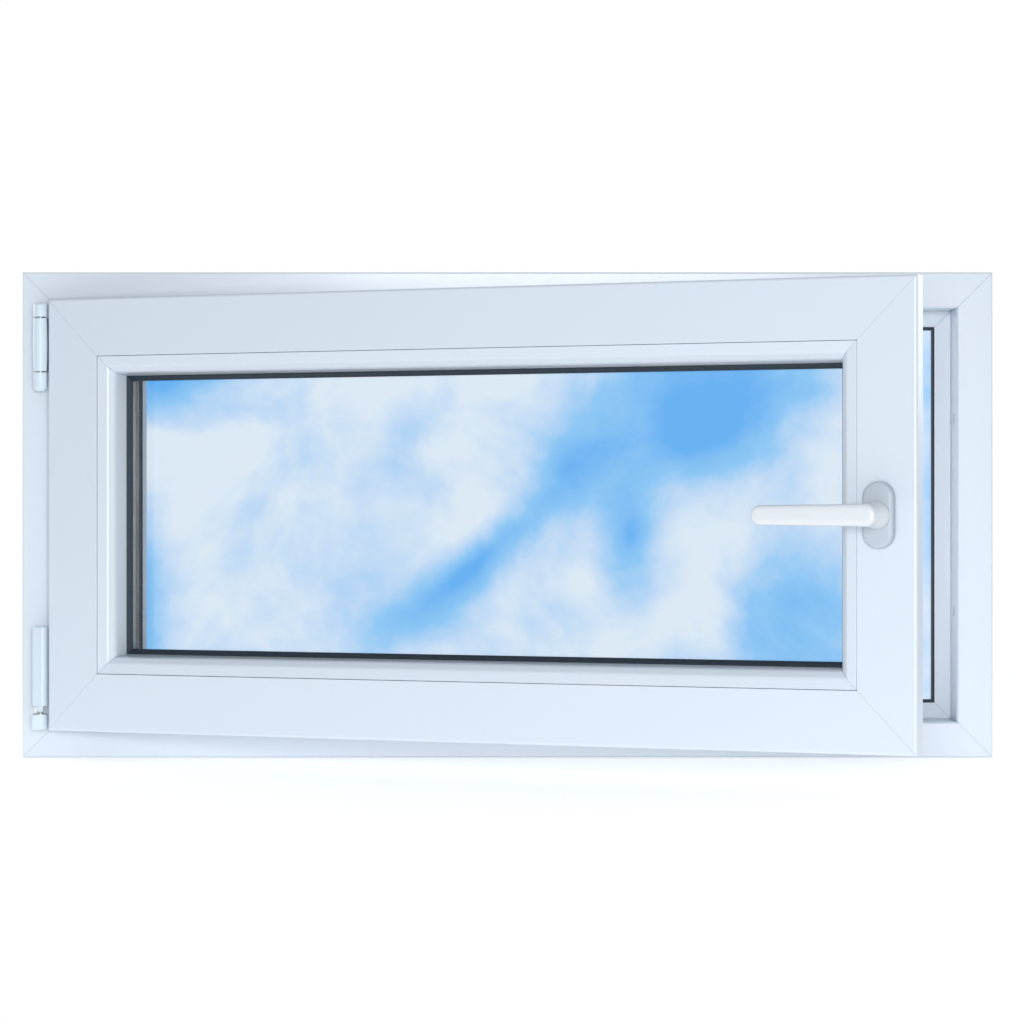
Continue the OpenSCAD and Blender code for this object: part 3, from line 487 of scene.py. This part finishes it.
share = np.linspace(0, 1, 13)
sleeve_stations = [(SLEEVE_LOW, 1.0)] + [
    (SLEEVE_LOW + 0.5 + s * (SLEEVE_HIGH - SLEEVE_LOW - 1), 0.45 - 0.5 * math.sin(math.pi * s)) for s in share
] + [(SLEEVE_HIGH, 1.0)]
upright_cover("hinge_sleeve", BARREL, sleeve_stations, "stay", "cover_white", ["stay_sleeve"], True)
upright_cover("hinge_top_cap", BARREL, [(TOP_CAP_LOW, 0.9), (TOP_CAP_LOW + 0.5, 0.4)]
              + [(z, inset + 0.4) for z, inset in edge_round(TOP_CAP_HIGH, 3)], "frame", "cover_white",
              ["stay_bearing_top_cap"], False)
foot_stations = [(FOOT_LOW, 3.2), (FOOT_LOW + 0.4, 2.6), (FOOT_LOW + 3, 0.8), (FOOT_LOW + 4, 0.4),
                 (FOOT_HIGH - 0.5, 0.4), (FOOT_HIGH, 0.9)]
upright_cover("hinge_foot_cap", BARREL, foot_stations, "frame", "cover_white", ["stay_bearing_foot_cap"], False)
print("top hinge: sleeve", round(SLEEVE_HIGH - SLEEVE_LOW, 1), "mm long")

# %% Covers of the bottom hinge
cover_outline = rounded([(-7.6, -5.5, 3), (7, -5.5, 3), (7, 6.5, 2.6), (-7.6, 6.5, 2.6)])
COVER_LOW, COVER_HIGH = 54, 136
upright_cover("corner_hinge_shell", cover_outline, [(COVER_LOW, 0.5), (COVER_LOW + 0.5, 0)]
              + edge_round(COVER_HIGH, 2.5), "sash", "cover_white", ["corner_hinge_cover"], True)

pot_outline = rounded([(-8.6, -7.9, 3), (3.5, -7.9, 6), (7.9, 0.5, 5), (4.5, 7.9, 4), (-1, 8.6, 1), (-1, 18, 1.4),
                       (-8.6, 18, 1.4)])
POT_LOW, POT_HIGH = 30, 45.6
pot_stations = [(POT_LOW, 1.2), (POT_LOW + 0.5, 0.4), (POT_LOW + 1.2, 0), (POT_HIGH - 0.7, 0), (POT_HIGH, 0.6),
                (POT_HIGH, 1.15), (POT_LOW + 1.5, 1.15)]
upright_cover("pot_shell", pot_outline, pot_stations, "frame", "cover_white", ["corner_bearing_cover"], False)
upright_cover("pin_boot", circle_outline(3.4, 32), [(47.2, 0.8), (47.6, 0.3), (48.4, 0), (52, 0), (54.6, -0.6)],
              "sash", "cover_white", [], True)
print("bottom hinge covers made")

# %% [markdown]
# ## Drain hoods on the outside
# Rain that gets into the rebate runs out through slots low on the outside. A small hood over each keeps the
# wind from blowing it back. It is a stacked outline too, lying on its back on the outside face.

# %% Drain hoods
HOOD_OFFSET = 0.3 * WIDTH
HOOD_HALF, HOOD_LOW, HOOD_HIGH, HOOD_T = 21, 6, 19, 4
hoods = []
for x in (-HOOD_OFFSET, HOOD_OFFSET):
    outline = rounded([(x - HOOD_HALF, HOOD_LOW, 1.5), (x + HOOD_HALF, HOOD_LOW, 1.5),
                       (x + HOOD_HALF, HOOD_HIGH, 5), (x - HOOD_HALF, HOOD_HIGH, 5)])
    points, faces = stacked(outline, [(0, 0), (2.2, 0.1)] + edge_round(HOOD_T, 1.5))
    hoods.append(np.stack([points[:, 0], OUTSIDE_FACE + points[:, 2], points[:, 1]], axis=1))
hood_faces = faces + [[k + len(hoods[0]) for k in face] for face in faces]
add_piece("drain_hoods", np.concatenate(hoods), hood_faces, "frame", "cover_white", ["drain_caps"])
print("two drain hoods")

# %% [markdown]
# ## The lever handle
# The lever is a casting: a round neck on an oval rosette, and a flat grip with a full round tip. The grip is
# a surface of two parameters, one along it and one round it. Its half height follows the taper and closes
# as a circle at each end, and each cross-section is a superellipse, so the front is nearly flat with soft edges.

# %% Rosette
PINION_X = SASH_W / 2 - SASH_REBATE - 16
ROSETTE_W, ROSETTE_H, ROSETTE_T = 30, 62, 9


def oval_outline(width, height, steps=28):
    """Two half circles joined by straight sides: a circle whose upper half is lifted and lower half lowered."""
    angle = np.linspace(-np.pi / 2, np.pi / 2, steps) + np.pi / 2
    arc = np.stack([np.cos(angle), np.sin(angle)], axis=1) * width / 2
    lift = np.array([0, (height - width) / 2])
    return np.concatenate([arc + lift, -arc - lift])


def on_handle(points):
    """Puts points drawn as right, up and towards the room on the sash face, with the handle's axis at 0."""
    return np.stack([PINION_X + points[:, 0], ROOM_FACE + SASH_FRONT - points[:, 2], MID_Z + points[:, 1]], axis=1)


points, faces = stacked(oval_outline(ROSETTE_W, ROSETTE_H), [(0, 0.2), (0.4, 0), (5, 0.15)]
                        + edge_round(ROSETTE_T, 3.5, steps=7) + [(ROSETTE_T + 0.15, 8)])
add_piece("rosette_shell", on_handle(points), faces, "sash", "rosette_grey", ["rosette_cover"], True)
print("rosette", ROSETTE_W, "by", ROSETTE_H, "mm")

# %% Lever
GRIP_REACH, GRIP_FRONT, GRIP_T = 112, 44, 13
ROOT_HALF, TIP_HALF = 10.4, 9.2
GRIP_MIDDLE = GRIP_FRONT - GRIP_T / 2


def grip_surface(along=120, around=56):
    """Runs from -GRIP_REACH to +ROOT_HALF in x. The half height tapers from root to tip and is multiplied by
    a circle's sqrt(1 - t^2) inside each end's radius; the half thickness closes later, by the fourth power."""
    turn = np.linspace(0, np.pi, along)
    x = -GRIP_REACH + (GRIP_REACH + ROOT_HALF) * (1 - np.cos(turn)) / 2
    taper = TIP_HALF + (ROOT_HALF - TIP_HALF) * (x + GRIP_REACH) / GRIP_REACH
    tip = np.clip((TIP_HALF - GRIP_REACH - x) / TIP_HALF, 0, 1)
    root = np.clip(x / ROOT_HALF, 0, 1)
    near_end = np.maximum(tip, root)
    half_height = taper * np.sqrt(1 - near_end ** 2)
    half_depth = GRIP_T / 2 * (1 - near_end ** 4) ** 0.25
    angle = np.linspace(0, 2 * np.pi, around, endpoint=False)
    power = 2 / 3.4
    across = np.sign(np.sin(angle)) * np.abs(np.sin(angle)) ** power
    out = np.sign(np.cos(angle)) * np.abs(np.cos(angle)) ** power
    points = np.zeros((along, around, 3))
    points[..., 0] = x[:, None]
    points[..., 1] = half_height[:, None] * across
    crown = 0.9 * np.cos(np.clip((x + GRIP_REACH / 2) / GRIP_REACH, -1, 1) * np.pi)
    points[..., 2] = GRIP_MIDDLE - 0.6 + half_depth[:, None] * out + crown[:, None] * 0.6
    return points.reshape(-1, 3), ring_faces(along, around)


NECK_FOOT = ROSETTE_T + 0.3
NECK_TOP = GRIP_MIDDLE
collar_stations = [(NECK_FOOT - 5, 3.7), (NECK_FOOT, 3.7), (NECK_FOOT, 0.5), (NECK_FOOT + 0.5, 0.05)]
rise = np.linspace(0, 1, 16)
flare = 2.15 * (1 - np.cos(np.pi * np.minimum(1, rise * 1.4))) / 2
neck_stations = collar_stations + list(zip(NECK_FOOT + 1 + rise * (NECK_TOP - NECK_FOOT - 1), flare))
neck_points, neck_faces = stacked(circle_outline(12.7), neck_stations)
grip_points, grip_faces = grip_surface()
lever_faces = grip_faces + [[k + len(grip_points) for k in face] for face in neck_faces]
lever_points = on_handle(np.concatenate([grip_points, neck_points]))
add_piece("lever", lever_points, lever_faces, "handle", "handle_white", ["handle_lever"], True, crease=50)
print("lever", GRIP_REACH + ROOT_HALF, "mm long")

# %% [markdown]
# ## Finishes
# A finish is a Principled shader whose colour, roughness and normal are fed by masks that change over the
# surface. Two effects recur on nearly every material, so they are node groups: a fine relief with slow
# unevenness, and painted shade darkening the colour in corners. Groups give out values only; the shaders stay in the
# material.

# %% Node helpers
def new_group(name, inputs, outputs):
    group = bpy.data.node_groups.new(name, "ShaderNodeTree")
    for label, kind, value in inputs:
        socket = group.interface.new_socket(name=label, in_out="INPUT", socket_type=kind)
        if value is not None:
            socket.default_value = value
    for label, kind in outputs:
        group.interface.new_socket(name=label, in_out="OUTPUT", socket_type=kind)
    return group, group.nodes.new("NodeGroupInput"), group.nodes.new("NodeGroupOutput")


def add_node(tree, kind, links=(), **settings):
    """Adds a node, sets its properties, and fills its inputs: a socket is linked, anything else is a value."""
    made_node = tree.nodes.new(kind)
    for key, value in settings.items():
        setattr(made_node, key, value)
    for label, value in links:
        if isinstance(value, bpy.types.NodeSocket):
            tree.links.new(value, made_node.inputs[label])
        else:
            made_node.inputs[label].default_value = value
    return made_node


print("node helpers ready")

# %% [markdown]
# The relief group mixes two scales of noise on object coordinates: a slow one for the gentle unevenness of
# an extrusion or casting, and a fine one for its skin, which can be stretched along one axis into streaks for brushed
# metal.

# %% Shared groups: surface relief and painted corner shade
FLOAT, COLOR, VECTOR = "NodeSocketFloat", "NodeSocketColor", "NodeSocketVector"
relief, inside, outside = new_group(
    "surface_relief",
    [("Slow Scale", FLOAT, 9.0), ("Fine Scale", FLOAT, 900.0), ("Stretch", VECTOR, (1, 1, 1)),
     ("Fine Share", FLOAT, 0.3)],
    [("Height", FLOAT), ("Slow", FLOAT), ("Fine", FLOAT)])
place = add_node(relief, "ShaderNodeTexCoord").outputs["Object"]
stretched = add_node(relief, "ShaderNodeVectorMath", [(0, place), (1, inside.outputs["Stretch"])],
                     operation="MULTIPLY")
slow = add_node(relief, "ShaderNodeTexNoise", [("Vector", place), ("Scale", inside.outputs["Slow Scale"]),
                                               ("Detail", 3.0)])
fine = add_node(relief, "ShaderNodeTexNoise", [("Vector", stretched.outputs[0]),
                                               ("Scale", inside.outputs["Fine Scale"]), ("Detail", 2.0)])
mixed = add_node(relief, "ShaderNodeMix", [("Factor", inside.outputs["Fine Share"]), ("A", slow.outputs["Fac"]),
                                           ("B", fine.outputs["Fac"])])
relief.links.new(mixed.outputs["Result"], outside.inputs["Height"])
relief.links.new(slow.outputs["Fac"], outside.inputs["Slow"])
relief.links.new(fine.outputs["Fac"], outside.inputs["Fine"])

# Painted shade: ambient occlusion within Reach finds corners and recesses, and the colour there is mixed towards a
# darker shade tint by up to Amount.
corner_shade_group, inside, outside = new_group(
    "painted_corner_shade", [("Color", COLOR, (1, 1, 1, 1)), ("Shade Tint", COLOR, (0.3, 0.3, 0.3, 1)), ("Reach", FLOAT, 0.006),
                       ("Amount", FLOAT, 0.4)], [("Color", COLOR), ("Mask", FLOAT)])
shade = add_node(corner_shade_group, "ShaderNodeAmbientOcclusion", [("Distance", inside.outputs["Reach"])], samples=8)
mask = add_node(corner_shade_group, "ShaderNodeMapRange", [("Value", shade.outputs["AO"]), ("From Min", 0.75), ("From Max", 0.2),
                                                ("To Min", 0.0), ("To Max", inside.outputs["Amount"])])
tinted = add_node(corner_shade_group, "ShaderNodeMix", [("Factor", mask.outputs["Result"]), ("A", inside.outputs["Color"]),
                                             ("B", inside.outputs["Shade Tint"])], data_type="RGBA")
corner_shade_group.links.new(tinted.outputs["Result"], outside.inputs["Color"])
corner_shade_group.links.new(mask.outputs["Result"], outside.inputs["Mask"])
print("groups:", [g.name for g in bpy.data.node_groups])

# %% One function for the opaque finishes
def opaque_finish(name, color, variation=0.04, roughness=(0.3, 0.4), metallic=0.0, other=None, bump=0.05,
                  slow_scale=9.0, fine_scale=900.0, stretch=(1, 1, 1), fine_share=0.3,
                  shade_tint=(0.3, 0.31, 0.32), shade_amount=0.25, **fixed):
    """Principled shader: the slow noise varies the colour, or blends it with another one, painted shade darkens the
    colour in corners and recesses, the fine noise varies the roughness, and both make the relief."""
    material = bpy.data.materials.new(name)
    material.use_nodes = True
    tree = material.node_tree
    shader = tree.nodes["Principled BSDF"]
    skin = add_node(tree, "ShaderNodeGroup", node_tree=relief)
    for label, value in (("Slow Scale", slow_scale), ("Fine Scale", fine_scale), ("Stretch", stretch),
                         ("Fine Share", fine_share)):
        skin.inputs[label].default_value = value
    darker = [channel * (1 - variation) for channel in color] + [1]
    lighter = [min(1, channel * (1 + variation)) for channel in other or color] + [1]
    blend = add_node(tree, "ShaderNodeMix", [("Factor", skin.outputs["Slow"]), ("A", darker), ("B", lighter)],
                     data_type="RGBA")
    # Painted shade: the occlusion group darkens the colour in corners and recesses.
    shade_paint = add_node(tree, "ShaderNodeGroup", node_tree=corner_shade_group)
    shade_paint.inputs["Shade Tint"].default_value = (*shade_tint, 1)
    shade_paint.inputs["Amount"].default_value = shade_amount
    tree.links.new(blend.outputs["Result"], shade_paint.inputs["Color"])
    tree.links.new(shade_paint.outputs["Color"], shader.inputs["Base Color"])
    gloss = add_node(tree, "ShaderNodeMapRange", [("Value", skin.outputs["Fine"]), ("To Min", roughness[0]),
                                                  ("To Max", roughness[1])])
    tree.links.new(gloss.outputs["Result"], shader.inputs["Roughness"])
    bumped = add_node(tree, "ShaderNodeBump", [("Strength", bump), ("Distance", 0.0004),
                                               ("Height", skin.outputs["Height"])])
    tree.links.new(bumped.outputs["Normal"], shader.inputs["Normal"])
    shader.inputs["Metallic"].default_value = metallic
    for label, value in fixed.items():
        shader.inputs[label.replace("_", " ")].default_value = value
    return material


print("finish function ready")

# %% [markdown]
# PVC is a cool, faintly glossy white; the covers are a touch whiter and duller; the lever is powder coated
# and warmer. The rosette is a grey-white, darkened further by painted shade. Rubber is nearly black with a broad
# sheen, and its faint blue tint is a painted reflection of the sky. The fittings are bright zinc, finely brushed
# along their length. Every opaque finish also gets painted shade in its corners and recesses, warm grey on the zinc.

# %% The finishes
finishes = {
    "pvc_white": opaque_finish("white_pvc", (0.655, 0.725, 0.785), 0.01, (0.26, 0.36), other=(0.68, 0.72, 0.80),
                               bump=0.12, slow_scale=2.2, fine_scale=260, fine_share=0.25, shade_tint=(0.33, 0.37, 0.43),
                               shade_amount=0.4, IOR=1.52, Coat_Weight=0.15, Coat_Roughness=0.12),
    "cover_white": opaque_finish("moulded_cover", (0.66, 0.76, 0.84), 0.015, (0.34, 0.44), bump=0.2, slow_scale=30,
                                 fine_scale=1500, shade_amount=0.35, IOR=1.5),
    # Painted shade: the rosette's grey-white is darkened further to stand for the shade it sits in.
    "rosette_grey": opaque_finish("rosette_painted_shade", (0.48, 0.53, 0.59), 0.02, (0.36, 0.48), bump=0.25, slow_scale=25,
                                  fine_scale=1800, shade_amount=0.4, IOR=1.5),
    "handle_white": opaque_finish("powder_coat", (0.72, 0.735, 0.76), 0.01, (0.22, 0.34), bump=0.22, slow_scale=22,
                                  fine_scale=2200, fine_share=0.5, shade_amount=0.2, IOR=1.5, Coat_Weight=0.35,
                                  Coat_Roughness=0.1),
    # Painted reflection: the black rubber's faint blue tint stands for the sky it reflects.
    "rubber_black": opaque_finish("seal_rubber_painted_sky", (0.010, 0.022, 0.038), 0.2, (0.42, 0.6), bump=0.3, slow_scale=60,
                                  fine_scale=2500, shade_tint=(0.05, 0.055, 0.06), shade_amount=0.2, IOR=1.5,
                                  Sheen_Weight=0.05),
    "seal_black": opaque_finish("edge_sealant", (0.02, 0.02, 0.023), 0.2, (0.5, 0.7), bump=0.4, slow_scale=80,
                                fine_scale=1200, shade_amount=0.1, IOR=1.5),
    "spacer_aluminium": opaque_finish("spacer_metal", (0.86, 0.88, 0.90), 0.05, (0.35, 0.5), 0.6, bump=0.15,
                                      slow_scale=20, fine_scale=1400, fine_share=0.6, shade_amount=0.1),
    "block_blue": opaque_finish("packer_plastic", (0.05, 0.12, 0.35), 0.06, (0.45, 0.6), bump=0.3, slow_scale=50,
                                fine_scale=900, shade_amount=0.3, IOR=1.48),
    "steel_zinc": opaque_finish("bright_zinc", (0.60, 0.61, 0.61), 0.14, (0.24, 0.42), 1.0, bump=0.18, slow_scale=55,
                                fine_scale=500, stretch=(0.08, 0.08, 1.0), fine_share=0.6,
                                shade_tint=(0.16, 0.15, 0.13), shade_amount=0.6),
}
print("finishes:", ", ".join(finishes))

# %% [markdown]
# Float glass is colourless from the front and green only at its edges. A Principled shader with full
# transmission does it, with faint smears in the roughness so that the sheen isn't computer-clean.

# %% Glass
glass = bpy.data.materials.new("float_glass")
glass.use_nodes = True
tree = glass.node_tree
shader = tree.nodes["Principled BSDF"]
shader.inputs["Base Color"].default_value = (0.97, 0.99, 1.0, 1)
shader.inputs["Transmission Weight"].default_value = 1.0
shader.inputs["IOR"].default_value = 1.5
smear = add_node(tree, "ShaderNodeGroup", node_tree=relief)
smear.inputs["Slow Scale"].default_value = 7
smear.inputs["Fine Scale"].default_value = 30
film = add_node(tree, "ShaderNodeMapRange", [("Value", smear.outputs["Height"]), ("From Min", 0.4), ("From Max", 0.8),
                                             ("To Min", 0.0), ("To Max", 0.03)])
tree.links.new(film.outputs["Result"], shader.inputs["Roughness"])
finishes["glass_clear"] = glass
print("glass ready")

# %% Give every piece its finish
slot_of = {part["node"]: part["material_slot"] for part in frame["record"]["subparts"]}
for name, node in nodes.items():
    node.data.materials.clear()
    node.data.materials.append(finishes[slot_of[name]])
for piece in made:
    piece.data.materials.append(finishes[piece["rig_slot"]] if "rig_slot" in piece else finishes["pvc_white"])
print("finished", len(nodes) + len(made), "pieces")

# %% [markdown]
# ## Studio
# A pale floor, a white surround and large soft lights. A card with a soft summer sky hangs just behind the
# outside face, smaller than the frame, so that the opening and the panes have something to look out on. It
# is see-through from behind, so it hides nothing from the garden side, and light that has bounced off a dull
# surface passes it too, so its blue doesn't tint the frame.

# %% Sky card behind the opening
CARD_MARGIN = 40
card_x, card_low, card_high = WIDTH / 2 - CARD_MARGIN, CARD_MARGIN, HEIGHT - CARD_MARGIN
card_y = OUTSIDE_FACE + 1.5
card_mesh = bpy.data.meshes.new("sky_card")
card_mesh.from_pydata(np.array([(-card_x, card_y, card_low), (card_x, card_y, card_low), (card_x, card_y, card_high),
                                (-card_x, card_y, card_high)]) * MM, [], [(0, 1, 2, 3)])
sky_card = bpy.data.objects.new("sky_card", card_mesh)
bpy.context.scene.collection.objects.link(sky_card)

sky = bpy.data.materials.new("summer_sky")
sky.use_nodes = True
tree = sky.node_tree
tree.nodes.remove(tree.nodes["Principled BSDF"])
where = add_node(tree, "ShaderNodeTexCoord").outputs["Object"]
billow = add_node(tree, "ShaderNodeTexNoise", [("Vector", where), ("Scale", 6.5), ("Detail", 8.0),
                                               ("Roughness", 0.58), ("Distortion", 0.25)])
total = add_node(tree, "ShaderNodeMath", [(0, billow.outputs["Fac"]), (1, -0.36)], operation="ADD").outputs[0]
BLUE_PATCHES = [((0.21, 0, 0.35), (0.18, 1, 0.14), -0.3, 0.85), ((-0.03, 0, 0.20), (0.28, 1, 0.05), -0.7, 0.6),
                ((0.13, 0, 0.23), (0.07, 1, 0.13), 0.0, 0.6), ((0.06, 0, 0.31), (0.10, 1, 0.13), 0.0, 0.35),
                ((0.30, 0, 0.16), (0.16, 1, 0.15), 0.0, 0.32), ((-0.16, 0, 0.14), (0.22, 1, 0.14), 0.0, 0.22),
                ((-0.41, 0, 0.18), (0.09, 1, 0.18), 0.0, 0.95), ((-0.35, 0, 0.40), (0.18, 1, 0.08), -0.35, 0.7),
                ((0.45, 0, 0.3), (0.05, 1, 0.4), 0.0, 0.25)]
for centre, half_size, slope, weight in BLUE_PATCHES:
    placed = add_node(tree, "ShaderNodeMapping", [("Vector", where), ("Location", centre),
                                                  ("Rotation", (0, slope, 0)), ("Scale", half_size)],
                      vector_type="TEXTURE")
    patch = add_node(tree, "ShaderNodeTexGradient", [("Vector", placed.outputs[0])],
                     gradient_type="QUADRATIC_SPHERE")
    total = add_node(tree, "ShaderNodeMath", [(0, patch.outputs["Fac"]), (1, weight), (2, total)],
                     operation="MULTIPLY_ADD").outputs[0]
tones = add_node(tree, "ShaderNodeValToRGB", [("Fac", total)])
stops = tones.color_ramp.elements
stops[0].position, stops[0].color = 0.08, (0.78, 0.86, 0.95, 1)
stops[1].position, stops[1].color = 0.62, (0.10, 0.43, 0.92, 1)
for position, color in ((0.20, (0.58, 0.74, 0.95, 1)), (0.38, (0.26, 0.58, 0.94, 1))):
    stops.new(position).color = color
glow = add_node(tree, "ShaderNodeEmission", [("Color", tones.outputs["Color"]), ("Strength", 1.04)])
clear = add_node(tree, "ShaderNodeBsdfTransparent")
seen_from = add_node(tree, "ShaderNodeNewGeometry").outputs["Backfacing"]
lit_by = add_node(tree, "ShaderNodeLightPath").outputs["Is Diffuse Ray"]
hidden = add_node(tree, "ShaderNodeMath", [(0, seen_from), (1, lit_by)], operation="MAXIMUM")
either = add_node(tree, "ShaderNodeMixShader", [(0, hidden.outputs[0]), (1, glow.outputs[0]),
                                                (2, clear.outputs[0])])
tree.links.new(either.outputs[0], tree.nodes["Material Output"].inputs["Surface"])
card_mesh.materials.append(sky)
print("sky card", 2 * card_x, "mm wide")

# %% Floor that fades into the white surround
FLOOR_RADIUS = 3.0
FLOOR_SIDES = 96
FLOOR_DROP = 0.0006      # just below the sill, so the two never share a plane
FADE_START, FADE_END = 0.7, 2.4
angle = np.linspace(0, 2 * np.pi, FLOOR_SIDES, endpoint=False)
floor_points = np.stack([FLOOR_RADIUS * np.cos(angle), FLOOR_RADIUS * np.sin(angle),
                         np.full(FLOOR_SIDES, -FLOOR_DROP)], axis=1)
floor_mesh = bpy.data.meshes.new("floor")
floor_mesh.from_pydata(floor_points, [], [tuple(range(FLOOR_SIDES))])
floor = bpy.data.objects.new("floor", floor_mesh)
bpy.context.scene.collection.objects.link(floor)

pale_floor = bpy.data.materials.new("pale_floor")
pale_floor.use_nodes = True
tree = pale_floor.node_tree
shader = tree.nodes["Principled BSDF"]
shader.inputs["Base Color"].default_value = (0.9, 0.9, 0.9, 1)
shader.inputs["Roughness"].default_value = 0.9
shader.inputs["Emission Color"].default_value = (1, 1, 1, 1)
shader.inputs["Emission Strength"].default_value = 0.45
spot = add_node(tree, "ShaderNodeTexCoord").outputs["Object"]
distance = add_node(tree, "ShaderNodeVectorMath", [(0, spot)], operation="LENGTH")
fade = add_node(tree, "ShaderNodeMapRange", [("Value", distance.outputs["Value"]), ("From Min", FADE_START),
                                             ("From Max", FADE_END), ("To Min", 1.0), ("To Max", 0.0)],
                interpolation_type="SMOOTHSTEP")
tree.links.new(fade.outputs["Result"], shader.inputs["Alpha"])
floor_mesh.materials.append(pale_floor)
print("floor radius", FLOOR_RADIUS, "m")

# %% Surround: white to the camera, a cool soft light to the surfaces
SURROUND_LIGHT, SURROUND_WHITE = 0.52, 1.0
world = bpy.data.worlds.new("studio")
bpy.context.scene.world = world
world.use_nodes = True
tree = world.node_tree
backdrop = tree.nodes["Background"]
backdrop.inputs["Color"].default_value = (0.86, 0.93, 1.0, 1)
backdrop.inputs["Strength"].default_value = SURROUND_LIGHT
white = add_node(tree, "ShaderNodeBackground", [("Color", (1, 1, 1, 1)), ("Strength", SURROUND_WHITE)])
ray = add_node(tree, "ShaderNodeLightPath").outputs["Is Camera Ray"]
chosen = add_node(tree, "ShaderNodeMixShader", [(0, ray), (1, backdrop.outputs[0]), (2, white.outputs[0])])
tree.links.new(chosen.outputs[0], tree.nodes["World Output"].inputs["Surface"])
print("surround ready")


# %% [markdown]
# The main light stands close to the camera, so the shadows it casts fall behind what they come from and every
# member of the window is lit alike. Two more stand behind, for whoever walks round to the garden side.

# %% Soft lights
def soft_light(name, place, aim, size, power, color):
    """A square area light, turned so that its face points from its place towards the aim."""
    lamp = bpy.data.lights.new(name, "AREA")
    lamp.shape = "SQUARE"
    lamp.size = size
    lamp.energy = power
    lamp.color = color
    holder = bpy.data.objects.new(name, lamp)
    bpy.context.scene.collection.objects.link(holder)
    holder.location = place
    direction = np.array(aim, float) - np.array(place, float)
    flat = math.hypot(direction[0], direction[1])
    holder.rotation_euler = (math.atan2(flat, -direction[2]), 0, math.atan2(-direction[0], direction[1]))
    return holder


TARGET = (0, -0.1, 0.25)
soft_light("front", (0.12, -3.7, 0.42), TARGET, 0.9, 58, (0.99, 1.0, 1.0))
soft_light("back_left", (-2.6, 1.8, 1.2), TARGET, 1.6, 34, (0.97, 0.99, 1.0))
soft_light("back_right", (2.6, 1.8, 1.2), TARGET, 1.6, 24, (0.97, 0.99, 1.0))
print("three lights")

# %% [markdown]
# ## Camera
# The view is square to the frame, a little above the middle of its height, from almost four metres away,
# with a long lens. Colours are shown with the plain Standard transform, so whites stay white.

# %% Camera
CAMERA_DISTANCE = 3911
CAMERA_HEIGHT = 253
CAMERA_SIDE = 1
LENS, SENSOR = 133.4, 36
lens = bpy.data.cameras.new("camera")
lens.lens = LENS
lens.sensor_width = SENSOR
camera = bpy.data.objects.new("camera", lens)
bpy.context.scene.collection.objects.link(camera)
camera.location = (CAMERA_SIDE * MM, (ROOM_FACE - CAMERA_DISTANCE) * MM, CAMERA_HEIGHT * MM)
camera.rotation_euler = (math.pi / 2, 0, 0)
bpy.context.scene.camera = camera
bpy.context.scene.view_settings.view_transform = "Standard"
print("camera", tuple(round(v, 3) for v in camera.location))
